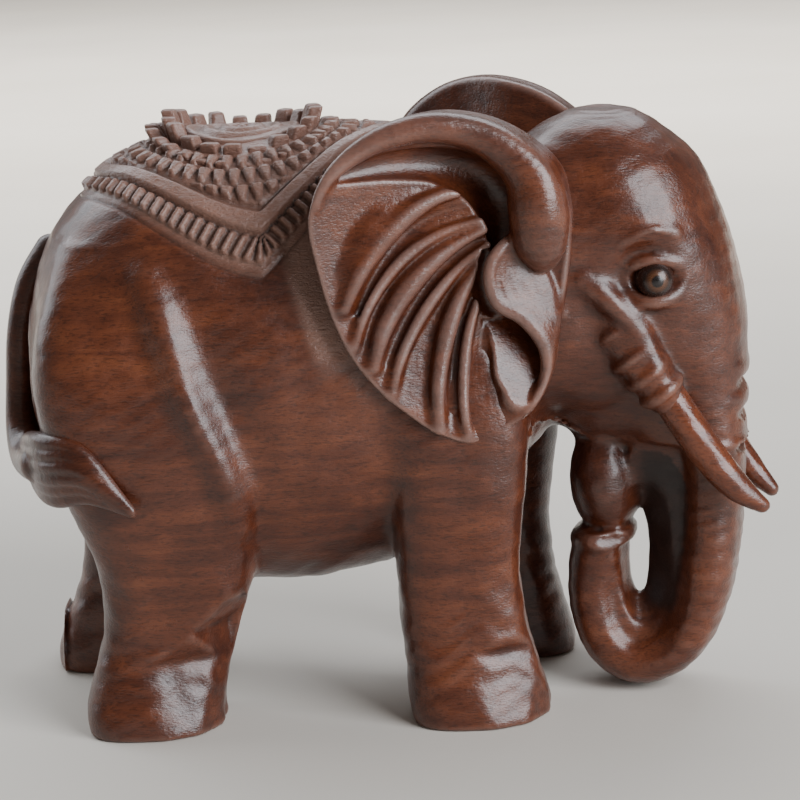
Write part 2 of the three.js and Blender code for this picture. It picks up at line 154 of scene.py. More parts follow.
class Carving:
    """A grid of signed distances that shapes are added to and cut from."""

    def __init__(self, low, high, step):
        self.low = np.array(low, float)
        self.step = step
        self.counts = np.ceil((np.array(high, float) - self.low) / step).astype(int) + 1
        self.field = np.full(self.counts, FAR, np.float32)

    def window(self, low, high):
        """The slices of the grid inside a box, and their three coordinates."""
        first = np.clip(np.floor((np.array(low) - self.low) / self.step).astype(int), 0, self.counts - 2)
        last = np.clip(np.ceil((np.array(high) - self.low) / self.step).astype(int) + 1, first + 2, self.counts)
        slices = tuple(slice(a, b) for a, b in zip(first, last))
        axes = [np.float32(self.low[i] + self.step * np.arange(first[i], last[i])) for i in range(3)]
        return slices, np.meshgrid(*axes, indexing="ij")

    def add(self, low, high, shape, k=2.0, even=False):
        slices, (x, y, z) = self.window(low, high)
        made = shape(x, y, z)
        if even:
            made = evened(made, self.step)
        self.field[slices] = smooth_min(self.field[slices], made, k)

    def cut(self, low, high, shape, k=1.0):
        slices, (x, y, z) = self.window(low, high)
        self.field[slices] = -smooth_min(-self.field[slices], shape(x, y, z), k)

    def sample(self, points):
        """The field at points, by trilinear interpolation."""
        place = np.clip((points - self.low) / self.step, 0, self.counts - 1.001)
        k = place.astype(int)
        t = place - k
        total = np.zeros(len(points))
        for corner in range(8):
            dx, dy, dz = corner & 1, corner >> 1 & 1, corner >> 2
            weight = np.where(dx, t[:, 0], 1 - t[:, 0])
            weight = weight * np.where(dy, t[:, 1], 1 - t[:, 1])
            weight = weight * np.where(dz, t[:, 2], 1 - t[:, 2])
            total += weight * self.field[k[:, 0] + dx, k[:, 1] + dy, k[:, 2] + dz]
        return total

    def slope(self, points):
        """The field's gradient at points."""
        reach = self.step * 0.75
        parts = []
        for axis in range(3):
            offset = np.zeros(3)
            offset[axis] = reach
            parts.append((self.sample(points + offset) - self.sample(points - offset)) / (2 * reach))
        return np.stack(parts, 1)

    def settled(self, points):
        """Points moved onto the surface."""
        for _ in range(2):
            g = self.slope(points)
            size = np.maximum((g * g).sum(1), 0.05)
            move = -(self.sample(points) / size)[:, None] * g
            points = points + np.clip(move, -self.step, self.step)
        return points

    def skin(self):
        """Vertices and four-sided faces of the surface, by surface nets."""
        f = self.field
        inside = f < 0
        total = np.zeros(np.array(f.shape) - 1, np.int8)
        for corner in range(8):
            total += inside[_shifted(corner, f.shape)]
        cells = np.argwhere((total > 0) & (total < 8))
        number = np.full(total.shape, -1, np.int64)
        number[tuple(cells.T)] = np.arange(len(cells))
        corners = np.array([[c & 1, c >> 1 & 1, c >> 2] for c in range(8)])
        values = np.stack([f[tuple((cells + c).T)] for c in corners], 1)
        place = np.zeros((len(cells), 3))
        crossings = np.zeros(len(cells))
        for a in range(8):
            for bit in (1, 2, 4):
                b = a | bit
                if b == a:
                    continue
                hit = (values[:, a] < 0) != (values[:, b] < 0)
                t = np.where(hit, values[:, a] / np.where(hit, values[:, a] - values[:, b], 1), 0)
                place += np.where(hit[:, None], corners[a] + t[:, None] * (corners[b] - corners[a]), 0)
                crossings += hit
        points = self.low + self.step * (cells + place / crossings[:, None])
        return self.settled(points), _net_faces(inside, number)


def _shifted(corner, shape):
    return tuple(slice(corner >> i & 1, shape[i] - 1 + (corner >> i & 1)) for i in range(3))


def _net_faces(inside, number):
    """A four-sided face across each grid edge that the surface cuts."""
    faces = []
    for axis in range(3):
        u, v = (axis + 1) % 3, (axis + 2) % 3
        near = [slice(1, -1)] * 3
        far = [slice(1, -1)] * 3
        near[axis] = slice(0, -1)
        far[axis] = slice(1, None)
        a = inside[tuple(near)]
        b = inside[tuple(far)]
        for rising in (True, False):
            hit = np.argwhere((a & ~b) if rising else (~a & b))
            start = hit.copy()
            start[:, u] += 1
            start[:, v] += 1
            ring = []
            for du, dv in ((-1, -1), (0, -1), (0, 0), (-1, 0)):
                cell = start.copy()
                cell[:, u] += du
                cell[:, v] += dv
                ring.append(number[tuple(cell.T)])
            quads = np.stack(ring, 1)
            faces.append(quads if rising else quads[:, ::-1])
    return np.concatenate(faces)


# ---- Meshes ---------------------------------------------------------------------------------
def normals_of(points, faces):
    across = np.cross(points[faces[:, 2]] - points[faces[:, 0]], points[faces[:, 3]] - points[faces[:, 1]])
    total = np.zeros_like(points)
    for column in range(4):
        for axis in range(3):
            total[:, axis] += np.bincount(faces[:, column], across[:, axis], len(points))
    return total / np.maximum(np.linalg.norm(total, axis=1), 1e-12)[:, None]


def hollows(points, faces, rounds):
    """How far each vertex lies below (+) or above (-) the smoothed surface, in millimetres."""
    a = faces.ravel()
    b = np.roll(faces, -1, axis=1).ravel()
    count = np.bincount(a, minlength=len(points)) + np.bincount(b, minlength=len(points))
    size = len(points)
    smooth = points.copy()
    for _ in range(rounds):
        sums = [np.bincount(a, smooth[b, i], size) + np.bincount(b, smooth[a, i], size) for i in range(3)]
        total = np.stack(sums, 1)
        smooth = 0.5 * smooth + 0.5 * total / np.maximum(count, 1)[:, None]
    return ((smooth - points) * normals_of(points, faces)).sum(1)


def mesh_object(name, points, faces, material, node, slot, dust_and_sheen=0.0, loop_shade=0.0):
    mesh = bpy.data.meshes.new(name)
    rows = [tuple(f) if f[3] != f[2] else tuple(f[:3]) for f in faces.tolist()]
    mesh.from_pydata(placed(points).tolist(), [], rows)
    fine = hollows(points, faces, 5)
    broad = hollows(points, faces, 45)
    for title, values in (("fine_hollow", fine), ("broad_hollow", broad), ("dust_and_sheen", dust_and_sheen), ("loop_shade", loop_shade)):
        layer = mesh.attributes.new(title, "FLOAT", "POINT")
        layer.data.foreach_set("value", np.broadcast_to(values, len(points)).astype(np.float32))
    mesh.shade_smooth()
    mesh.materials.append(material)
    piece = bpy.data.objects.new(name, mesh)
    bpy.context.scene.collection.objects.link(piece)
    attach(piece, "root")
    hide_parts(node)
    return piece


def refined(carving, points, faces, chosen):
    """The faces whose four corners are all chosen are split in four; their neighbours join on."""
    bm = bmesh.new()
    for p in points:
        bm.verts.new(p)
    bm.verts.ensure_lookup_table()
    for f in faces:
        bm.faces.new([bm.verts[i] for i in f])
    bm.faces.ensure_lookup_table()
    marked = chosen[faces].all(1)
    edges = {e for i in np.flatnonzero(marked) for e in bm.faces[i].edges}
    bmesh.ops.subdivide_edges(bm, edges=list(edges), cuts=1, use_grid_fill=True)
    odd = [f for f in bm.faces if len(f.verts) > 4]
    bmesh.ops.triangulate(bm, faces=odd)
    bm.verts.index_update()
    made = np.array([v.co[:] for v in bm.verts])
    rows = []
    for f in bm.faces:
        corner = [v.index for v in f.verts]
        rows.append(corner if len(corner) == 4 else corner + corner[-1:])
    bm.free()
    made = carving.settled(made)
    return made, np.array(rows)


# ---- The block: torso, legs, head and trunk -----------------------------------------------------
# The torso from rump to neck: x, top, underside, half width.
TORSO = [
    (-70.2, 69, 65, 1.5),
    (-69.6, 76, 58, 9),
    (-67.6, 85.5, 49, 17),
    (-64.0, 93.5, 40, 23.4),
    (-57.0, 101, 33, 28.2),
    (-46, 107, 27, 31),
    (-30, 109.5, 23.5, 31.6),
    (-14, 109.6, 23.8, 31),
    (2, 108.6, 28, 29),
    (16, 107, 37, 25.0),
    (24, 104, 46, 20.5),
    (32, 100, 54, 16),
    (46, 96, 60, 12),
]
TORSO_END = 33.0
TORSO_POWER = 2.3

# Each leg from the sole up: z, back, front, outer side, inner side.
FRONT_LEG = [
    (-2, 0.6, 26.4, 31.6, 8.4),
    (0, 0.4, 26.6, 31.8, 8.3),
    (4, -0.2, 26.4, 31.3, 8.0),
    (10, -0.4, 24.6, 29.7, 8.6),
    (18, -1.2, 22.6, 28.4, 9.0),
    (30, -1.8, 21.4, 28.4, 9.0),
    (46, -2.6, 23.0, 30.6, 7.0),
    (62, -4, 24, 30.6, 4.0),
    (76, -2, 20, 26, 4.0),
]
HIND_LEG = [
    (-2, -60.6, -36.0, 31.6, 8.4),
    (0, -60.8, -35.8, 31.8, 8.3),
    (4, -61.2, -35.2, 31.3, 8.0),
    (10, -59.8, -34.2, 29.7, 8.6),
    (20, -57.2, -31.4, 28.6, 9.0),
    (32, -58.0, -28.0, 30.0, 8.0),
    (46, -63.0, -27.8, 32.6, 5.0),
    (58, -66.4, -31.0, 33.2, 4.0),
    (70, -67.4, -37.0, 32.2, 4.0),
    (82, -65, -43.5, 28.4, 4.0),
    (92, -61, -49, 21, 4.0),
]
LEFT_FRONT_STRIDE = (7.5, 9.0)
LEFT_HIND_STRIDE = (-10.5, -1.0)
# Each leg's rows, side, stride (the shift at the sole and at the top) and the top of its front flat.
LEGS = (
    (FRONT_LEG, -1, (0, 0), 36.0),
    (FRONT_LEG, 1, LEFT_FRONT_STRIDE, 36.0),
    (HIND_LEG, -1, (0, 0), 20.0),
    (HIND_LEG, 1, LEFT_HIND_STRIDE, 20.0),
)
# The knife's flats on each leg: outward direction (left side); where it passes, as a share of the half
# length, millimetres in from the outer side, and height.
FOOT_FLAT = ((0.38, 0.88, 0.28), (0.12, 1.5, 8.0))
FRONT_FLAT = ((0.82, 0.57, 0.05), (0.70, 3.4, 10.0))
FOOT_FLAT_TOP = 14.0
FLAT_FADE = 0.9

# The head above the trunk, from the crown down: z, back, front, half width.
HEAD = [
    (112.6, 35.4, 43.6, 4.6),
    (111.6, 33, 46.2, 8.4),
    (109, 28, 50.6, 13.8),
    (103, 22, 57.4, 18.6),
    (95, 20, 61.4, 20.8),
    (85, 20, 64.8, 20),
    (75, 22, 66.6, 17.4),
    (66, 27, 66.4, 14.6),
    (56, 36, 65.0, 10.4),
    (50, 44, 64.4, 9.4),
]
HEAD_TOP = 112.2

# The trunk in the head's own plane: x, z, half thickness, half width.
TRUNK = [
    (55, 68, 11, 11),
    (59.4, 56, 7.2, 10),
    (60.6, 46, 6.0, 9.6),
    (60.6, 34, 5.6, 9.9),
    (58.8, 21, 5.6, 10.1),
    (54.6, 10.6, 5.4, 9.8),
    (47.2, 5.5, 5.2, 9.5),
    (40.6, 8.4, 5.0, 9.1),
    (37.4, 16.6, 5.0, 8.7),
    (37.9, 23.6, 5.5, 8.5),
    (38.8, 27.4, 5.8, 8.3),
]
# The front edge of each thigh and the hollow before it, on the left side.
THIGH_RIDGE = [
    (-45, 27.0, 87), (-42.4, 28.9, 80), (-39.4, 30.0, 70.6),
    (-35.8, 30.4, 61), (-32.4, 30.0, 51), (-31.0, 27.6, 41),
]
THIGH_RIDGE_RADII = (1.8, 3.2, 3.8, 4.0, 3.6, 2.2)
THIGH_HOLLOW = [(-38.4, 34.6, 86), (-35.4, 36.0, 76), (-30.6, 36.4, 64), (-26.0, 35.8, 53), (-23.4, 34.2, 43)]
THIGH_HOLLOW_RADII = (2.0, 4.0, 5.0, 4.6, 2.6)
EYE = (51.5, 16.7, 82.9)
EYE_RADIUS = 3.5
CHEEK_BONE = [(39, 19.6, 83), (43, 19.2, 79.6), (46.8, 18.0, 75.4), (49.6, 17.0, 70.5), (52.2, 16.6, 65)]
# The sheath that each tusk comes out of, on the left side, and where its rings are along it.
SHEATH = [(41.8, 14.8, 77.4), (44.6, 15.6, 72.4), (47.8, 15.7, 67.8), (50.4, 15.3, 64.4), (53.0, 14.8, 60.6)]
SHEATH_RADII = (2.8, 3.9, 4.1, 4.0, 3.6)
SHEATH_RINGS = (0.24, 0.47, 0.70, 0.92)
SHEATH_RING_RADIUS = 3.5
RIM_ANGLES = np.linspace(0, 2 * math.pi, 20)
# The mouth, the round drop of the lower lip, and the chin: centre, radii, the box each lies in and its blend.
MOUTH_BALLS = (
    ((50.4, 0, 52), (9.4, 6.4, 10.6), (34, -12, 34), (64, 12, 72), 2.4),
    ((39.8, 0, 41.0), (7.0, 9.4, 11.0), (28, -16, 24), (56, 16, 62), 1.0),
    ((39.5, 0, 58), (10, 10, 9.5), (22, -20, 40), (58, 20, 76), 4),
)
LIP_FLAT_FACING = (0.43, 0.78, 0.45)  # the worn flat on the trunk tip's rim, on the left side


def torso(x, y, z):
    rows = smooth_rows(TORSO, 160)
    flat = x[:, 0, 0]
    top, under, half = (np.interp(flat, rows[:, 0], rows[:, i]).astype(np.float32) for i in (1, 2, 3))
    fade = np.clip(rows[0, 0] - flat, 0, None)
    shape = superellipse(
        y,
        z - ((top + under) / 2)[:, None, None],
        half[:, None, None],
        ((top - under) / 2)[:, None, None],
        TORSO_POWER,
    )
    shape = evened(shape + fade[:, None, None] * 0.6, x[1, 0, 0] - x[0, 0, 0])
    return np.maximum(shape, x - TORSO_END)


def leg(rows, side, stride, power=3.3):
    """A leg's distance function; a boxier power gives the carver's flat cuts."""
    rows = smooth_rows(rows, 80)

    def shape(x, y, z):
        level = z[0, 0, :]
        back, front, outer, inner = (np.interp(level, rows[:, 0], rows[:, i]) for i in (1, 2, 3, 4))
        shift = stride[0] + (stride[1] - stride[0]) * np.clip(level / rows[-1, 0], 0, 1)
        fade = np.clip(level - rows[-1, 0], 0, None)
        made = superellipse(
            x - ((back + front) / 2 + shift),
            y * side - (outer + inner) / 2,
            (front - back) / 2,
            (outer - inner) / 2,
            power,
        )
        return made + fade * 0.4

    return shape


def in_head(shape):
    """A shape given in the head's own frame, which is turned about the neck."""

    def turned_shape(x, y, z):
        hx, hy = turn(x, y, -HEAD_TURN)
        return shape(hx, hy, z)

    return turned_shape


def skull(x, y, z):
    rows = smooth_rows(HEAD[::-1], 120)
    level = z[0, 0, :]
    back, front, half = (np.interp(level, rows[:, 0], rows[:, i]) for i in (1, 2, 3))
    fade = np.clip(np.maximum(level - rows[-1, 0], rows[0, 0] - level), 0, None)
    shape = superellipse(x - (back + front) / 2, y, (front - back) / 2, half, 2.25) + fade * 0.5
    return np.maximum(shape, (z - HEAD_TOP) * 0.1)


def trunk(x, y, z):
    rows = smooth_rows(TRUNK, 46)
    best = np.full(x.shape, 1e6, np.float32)
    thick = np.ones_like(best)
    wide = np.ones_like(best)
    for a, b in zip(rows[:-1], rows[1:]):
        d = b[:2] - a[:2]
        t = np.clip(((x - a[0]) * d[0] + (z - a[1]) * d[1]) / (d @ d), 0, 1)
        gap = (x - a[0] - t * d[0]) ** 2 + (z - a[1] - t * d[1]) ** 2
        nearer = gap < best
        best = np.where(nearer, gap, best)
        thick = np.where(nearer, a[2] + t * (b[2] - a[2]), thick)
        wide = np.where(nearer, a[3] + t * (b[3] - a[3]), wide)
    return superellipse(np.sqrt(best), y, thick, wide, 2.4)


def head_box(low, high):
    """A window in the carver's frame that holds a box given in the head's frame."""
    corners = [turn(x, y, HEAD_TURN) for x in (low[0], high[0]) for y in (low[1], high[1])]
    xs = [c[0] for c in corners]
    ys = [c[1] for c in corners]
    return (min(xs), min(ys), low[2]), (max(xs), max(ys), high[2])


def add_in_head(block, low, high, shape, k=2.0, even=False):
    block.add(*head_box(low, high), in_head(shape), k, even)


def cut_in_head(block, low, high, shape, k=1.0):
    block.cut(*head_box(low, high), in_head(shape), k)


def around(points, reach):
    points = np.asarray(points, float)
    return points.min(0) - reach, points.max(0) + reach


def head_bar(block, points, radii, k=1.5, steps=24, cut=False):
    low, high = around(points, max(radii) + k + 1)
    work = cut_in_head if cut else add_in_head
    work(block, low, high, lambda x, y, z: chain(x, y, z, points, radii, steps), k)


def mirrored(points, side):
    """Points given for the left side (y positive), put on a side."""
    return [(x, y * side, z) for x, y, z in points]


def ring_points(centre, half_x, half_z, lean, bulge, side, start=0.0, end=360.0, count=14):
    """Points round an eye: an ellipse in the side of the head, leaning and bulging with it."""
    out = []
    for k in range(count):
        angle = math.radians(start + (end - start) * k / (count - 1))
        dx = half_x * math.cos(angle)
        dz = half_z * math.sin(angle)
        y = centre[1] - lean * dx - bulge * (abs(dx) / half_x) ** 2
        out.append((centre[0] + dx, side * y, centre[2] + dz))
    return out


def carve_face(block, side):
    """Cheek, brow, eyelids and the ringed sheath that the tusk comes out of."""
    add_in_head(
        block,
        (14, -30, 44),
        (60, 30, 98),
        lambda x, y, z: ball(x, y * side, z, (36.5, 9.6, 71), (13, 9.0, 13)),
        5,
    )
    add_in_head(
        block,
        (6, -36, 50),
        (56, 36, 116),
        lambda x, y, z: ball(x, y * side, z, (29, 14.5, 85), (11, 8.0, 21)),
        6,
    )
    cut_in_head(
        block,
        (38, -32, 70),
        (66, 32, 96),
        lambda x, y, z: ball(x, y * side, z, (EYE[0] + 0.8, EYE[1] + 5.0, EYE[2] + 0.4), (8.8, 5.6, 7.0)),
        2.4,
    )
    brow = mirrored([(46.0, 19.6, 90.0), (48.6, 19.4, 91.4), (51.8, 18.6, 92.2), (55.4, 16.4, 91.4)], side)
    head_bar(block, brow, (0.5, 1.0, 1.1, 0.5), 1.6)
    for height in (93.6, 91.1):
        crease = mirrored([(48.4, 20.9, height - 1.0), (51.6, 20.0, height), (54.8, 17.8, height - 0.9)], side)
        head_bar(block, crease, (0.3, 0.8, 0.3), 0.4, cut=True)
    lower = ring_points((EYE[0], EYE[1] + 0.9, EYE[2] - 0.4), 5.0, 3.8, 0.22, 1.6, side, 180, 360)
    upper = ring_points((EYE[0], EYE[1] + 0.8, EYE[2] + 0.4), 5.3, 3.2, 0.22, 1.6, side, -12, 190)
    head_bar(block, lower, (0.7, 1.3, 1.3, 0.7), 1.0)
    head_bar(block, upper, (0.8, 1.2, 1.3, 0.8), 1.0)
    bone = mirrored(CHEEK_BONE, side)
    head_bar(block, bone, (1.4, 2.0, 2.4, 2.2, 1.6), 2.4)
    sheath = smooth_rows(mirrored(SHEATH, side), 12)
    sheath[:, 2] -= np.linspace(0, TUSK_DROP[side] * 0.3, len(sheath))
    head_bar(block, sheath, SHEATH_RADII, 1.8, 30)
    for share in SHEATH_RINGS:
        ring = ring_round(sheath, share, SHEATH_RING_RADIUS)
        head_bar(block, ring, (1.3,) * len(ring), 0.4, 30)


def ring_round(line, share, radius):
    """A circle of points round a line, a share of the way along it."""
    place = share * (len(line) - 1)
    k = int(place)
    centre = line[k] + (line[k + 1] - line[k]) * (place - k)
    ahead = line[k + 1] - line[k]
    ahead = ahead / np.linalg.norm(ahead)
    first = np.cross(ahead, (0.0, 1.0, 0.0))
    first /= np.linalg.norm(first)
    second = np.cross(ahead, first)
    return np.array([centre + radius * (first * math.cos(a) + second * math.sin(a)) for a in RIM_ANGLES])


def loop_web(x, y, z):
    """The wood left inside the trunk's loop."""
    inside = superellipse(x - 49.2, z - 28, 8.8, 21, 2.1) * 8.8
    return np.maximum(inside, np.abs(y) - 6.2)


def loop_hole(x, y, z):
    """The hole in it, which narrows like a funnel from each side to a slot in the middle."""
    share = np.clip(1.1 - np.abs(y) / 8.8, 0, 1)
    half_x = 7.5 - 5.6 * share
    return superellipse(x - 49.2 + 3.2 * share, z - 27.5 + 0.8 * share, half_x, 19.8 - 11.1 * share, 2.2) * half_x


def carve_trunk(block):
    add_in_head(block, (28, -16, -2), (76, 16, 78), trunk, 3.4, True)
    add_in_head(block, (34, -14, 2), (64, 14, 54), loop_web, 1.6)
    cut_in_head(block, (38, -16, 4), (60, 16, 50), loop_hole, 0.9)
    # The creases across the front of the trunk, just under the face.
    for height, reach, size in ((63.8, 65.2, 2.0), (57.6, 65.2, 2.0), (51.4, 64.6, 1.8)):
        fold = [(reach - 5.0, -9.6, height + 1.0), (reach - 0.8, -5.6, height + 0.2), (reach, 0, height)]
        fold += [(reach - 0.8, 5.6, height + 0.2), (reach - 5.0, 9.6, height + 1.0)]
        head_bar(block, fold, (size * 0.4, size * 0.9, size, size * 0.9, size * 0.4), 0.8)
        notch = [(x + 1.9, y, z - 3.1) for x, y, z in fold[1:-1]]
        head_bar(block, notch, (0.8, 1.5, 0.8), 0.5, cut=True)
    # The mouth, and the lower lip that hangs as a round drop and rests on the trunk's tip.
    for centre, radii, low, high, k in MOUTH_BALLS:
        add_in_head(block, low, high, lambda x, y, z, c=centre, r=radii: ball(x, y, z, c, r), k)
    rim = [(39.2 + 4.8 * math.cos(a), 7.6 * math.sin(a), 29.9 + 0.7 * math.cos(a)) for a in RIM_ANGLES]
    head_bar(block, rim, (1.8,) * len(rim), 0.8, 40)
    for side in (-1, 1):
        normal = np.array(LIP_FLAT_FACING) * (1, side, 1)
        place = (39.9, side * 8.0, 30.6)
        low = (32, min(side * 5, side * 14), 26)
        high = (48, max(side * 5, side * 14), 31.4)
        cut_in_head(block, low, high, lambda x, y, z, n=normal, c=place: flat(x, y, z, n, c, 30.6), 0.4)


def carve_feet(block):
    """Low toe-nails, and the flats that the knife left down the front corners of the legs."""
    for rows, side, stride, front_top in LEGS:
        _, back, front, outer, inner = rows[2]
        middle = ((back + front) / 2 + stride[0], side * (outer + inner) / 2)
        half = ((front - back) / 2, (outer - inner) / 2)
        for angle in (-30, -6, 18, 42):
            turn_by = math.radians(angle)
            cos = math.cos(turn_by)
            sin = math.sin(turn_by) * side
            size = (abs(cos) ** 3 + abs(sin) ** 3) ** (-1 / 3)
            x = middle[0] + cos * size * (half[0] - 1.5)
            y = middle[1] + sin * size * (half[1] - 1.5)
            base = [(x, y, 1.6), (x - cos * 0.7, y - sin * 0.7, 5.0)]
            low, high = around(base, 5)
            block.add(low, high, lambda a, b, c, base=base: chain(a, b, c, base, (1.9, 1.4), 3), 0.8)
        for (normal, (share, depth, height)), top in ((FOOT_FLAT, FOOT_FLAT_TOP), (FRONT_FLAT, front_top)):
            n = np.array([normal[0], normal[1] * side, normal[2]])
            n /= np.linalg.norm(n)
            place = (middle[0] + half[0] * share, side * (outer - depth), height)
            reach = side * (outer + 6)
            low = (middle[0] - 12, min(reach, middle[1]), -2.5)
            high = (middle[0] + half[0] + 4, max(reach, middle[1]), top + 16)
            block.cut(low, high, lambda x, y, z, n=n, c=place, t=top: flat(x, y, z, n, c, t), 0.7)


def flat(x, y, z, normal, place, top):
    """A plane's cut, fading out above a height."""
    fade = np.clip(z - top, 0, None) * FLAT_FADE
    along = (x - place[0]) * normal[0] + (y - place[1]) * normal[1] + (z - place[2]) * normal[2]
    return fade - along


def carve_block():
    step = 0.66
    block = Carving((-75.5, -36, -2.3), (71, 36, 114.5), step)
    low = block.low
    high = low + step * (block.counts - 1)
    block.add(low, high, torso, 0.5)
    for rows, side, stride, _ in LEGS:
        xs = [r[i] for r in rows for i in (1, 2)]
        first = min(xs) + min(0, *stride) - 4
        last = max(xs) + max(0, *stride) + 4
        y_low, y_high = (-36, 0) if side < 0 else (0, 36)
        block.add((first, y_low, -3), (last, y_high, rows[-1][0] + 6), leg(rows, side, stride), 2.4, True)
    for side, shift in ((-1, 0.0), (1, LEFT_HIND_STRIDE[1])):
        for line, radii, work, k in (
            (THIGH_RIDGE, THIGH_RIDGE_RADII, block.add, 3.4),
            (THIGH_HOLLOW, THIGH_HOLLOW_RADII, block.cut, 3.0),
        ):
            path = [(x + shift, y * side, z) for x, y, z in line]
            first, last = around(path, max(radii) + k + 1)
            work(first, last, lambda x, y, z, p=path, r=radii: chain(x, y, z, p, r, 30), k)
    add_in_head(block, (14, -26, 44), (74, 26, 116), skull, 5.5, True)
    carve_trunk(block)
    for side in (-1, 1):
        carve_face(block, side)
    carve_feet(block)
    block.cut(low, high, lambda x, y, z: z, 0.05)
    return block


# ---- The blanket: raised cuts along the block's own surface ---------------------------------------
BLANKET_X = -24.0
BLANKET_REACH = 37.7  # down the side to the point of the lozenge, measured over the back
REAR_REACH = 43.0
REAR_POWER = 1.6
FRONT_REACH = 30.3
FRONT_POWER = 1.1
BACK_TOP = 109.5
STRIP_INNER = 0.745
STRIP_OUTER = 0.85
ROUGH_STRIP = (-15.0, 88.0)  # its middle, and how far it leans forward going down
ROUGH_STRIP_LEAN = 0.26
REAR_EDGE = (0.87, 0.49)  # the way each arm runs, as shares of lengthwise and down the side
FRONT_EDGE = (0.67, -0.74)
FRINGE_PITCH = 2.2
FAN_LENGTH = 3 * FRINGE_PITCH
ROSETTE = (-28.0, 0.0)
# The rosette: its ringed plateau, and rings of petals (radius, count, height, half width, lean).
PLATEAU = (10.8, 110.6)
PLATEAU_PITCH = 3.4
PLATEAU_DEPTH = 0.5
PETAL_RINGS = ((12.9, 19, 4.2, 1.85, 0.30), (16.3, 27, 2.0, 1.35, 0.5))
PETAL_DEPTH = 1.35
PETAL_ROUND = 0.5
PETAL_WORN = 0.6  # how much shorter the petals on the right side are


def down_side(points):
    """How far round the back a place is from the spine, in millimetres."""
    return np.hypot(points[:, 1], 1.23 * np.maximum(BACK_TOP - points[:, 2], 0))


def blanket_share(points):
    """0 at the middle of the lozenge, 1 at its border."""
    x = points[:, 0] - BLANKET_X
    rear = (np.maximum(-x, 0) / REAR_REACH) ** REAR_POWER
    fore = (np.maximum(x, 0) / FRONT_REACH) ** FRONT_POWER
    return rear + fore + down_side(points) / BLANKET_REACH


def fringe_place(points):
    """How far along the border a place is: the strokes fan out round the lozenge's point."""
    x = points[:, 0] - BLANKET_X
    down = down_side(points) - STRIP_OUTER * BLANKET_REACH
    rear = x * REAR_EDGE[0] + down * REAR_EDGE[1]
    fore = x * FRONT_EDGE[0] + down * FRONT_EDGE[1]
    start = math.atan2(REAR_EDGE[0], -REAR_EDGE[1])
    end = math.atan2(FRONT_EDGE[0], -FRONT_EDGE[1])
    fan = FAN_LENGTH * (start - np.arctan2(down, x)) / (start - end)
    return np.where(rear < 0, rear, np.where(fore > 0, fore + FAN_LENGTH, fan))


def on_back(points):
    return (points[:, 2] > 78) & (points[:, 0] < 14)


def ramp(value, start, end):
    t = np.clip((value - start) / (end - start), 0, 1)
    return t * t * (3 - 2 * t)


def blanket_relief(points):
    """How far the blanket's cuts stand off the block, in millimetres."""
    share = blanket_share(points)
    side = down_side(points)
    along = fringe_place(points)
    cloth = 0.6 * (1 - ramp(share, 0.99, 1.012))
    edge_groove = -0.4 * np.exp(-(((share - 1.075) / 0.014) ** 2))
    strip = 1.0 * ramp(share, STRIP_INNER - 0.012, STRIP_INNER + 0.016)
    strip *= 1 - ramp(share, STRIP_OUTER - 0.016, STRIP_OUTER + 0.012)
    grooves = -0.5 * np.exp(-(((share - STRIP_OUTER - 0.02) / 0.012) ** 2))
    grooves -= 0.5 * np.exp(-(((share - STRIP_INNER + 0.024) / 0.014) ** 2))
    in_fringe = ramp(share, STRIP_OUTER + 0.010, STRIP_OUTER + 0.03) * (1 - ramp(share, 0.985, 1.01))
    stroke = 0.5 + 0.5 * np.cos(2 * math.pi * along / FRINGE_PITCH)
    fringe = in_fringe * (1.15 * ramp(stroke, 0.2, 0.85) - 0.35)
    from_rosette = np.hypot(points[:, 0] - ROSETTE[0], side)
    around_it = np.arctan2(side * np.sign(points[:, 1]), points[:, 0] - ROSETTE[0])
    field = (1 - ramp(share, STRIP_INNER - 0.055, STRIP_INNER - 0.03)) * ramp(from_rosette, 14.5, 16)
    row = (from_rosette - 15.0) / 3.7
    level = np.floor(row)
    count = np.round(2 * math.pi * (15.0 + 3.7 * (level + 0.5)) / 2.9)
    turns = around_it * count / (2 * math.pi) + (level % 2) * 0.5
    tick = np.abs(((turns + 0.5) % 1) - 0.5)
    inward = row - level
    width = 0.30 * (1 - inward)
    ticks = 1.1 * (1 - ramp(tick, 0.06 + width, 0.20 + width))
    ticks *= ramp(inward, 0.04, 0.2) * (1 - ramp(inward, 0.85, 0.99))
    relief = cloth + edge_groove + strip + grooves + fringe + field * ticks
    return relief * ramp(points[:, 2], 78, 81) * (1 - ramp(points[:, 0], 10, 13))


def skin_relief(points):
    """Slight wrinkles low on the legs and along the trunk, and the flats that the knife leaves."""
    x, y, z = points.T
    hx, hy = turn(x, y, -HEAD_TURN)
    wobble = 1.3 * np.sin(x * 0.23 + 1.0) + 1.5 * np.sin(y * 0.29 + z * 0.13) + 0.9 * np.sin(x * 0.61 - z * 0.17)
    on_leg = (1 - ramp(z, 24, 38)) * (1 - ramp(x, 30, 33)) * ramp(z, 5, 9)
    rings = 0.09 * np.sin(z * 0.9 + wobble * 1.6) * on_leg
    on_trunk = ramp(hx, 52, 56) * (1 - ramp(z, 44, 52)) * (np.abs(hy) < 14)
    rings += 0.06 * on_trunk * np.sin(z * 1.9 + wobble)
    flats = 0.11 * np.sin(x * 0.42 + z * 0.23) * np.sin(z * 0.33 - y * 0.27)
    flats += 0.06 * np.sin(x * 0.9 - z * 0.7 + y * 0.4) * np.sin(z * 0.8 + y * 0.7)
    return rings + flats


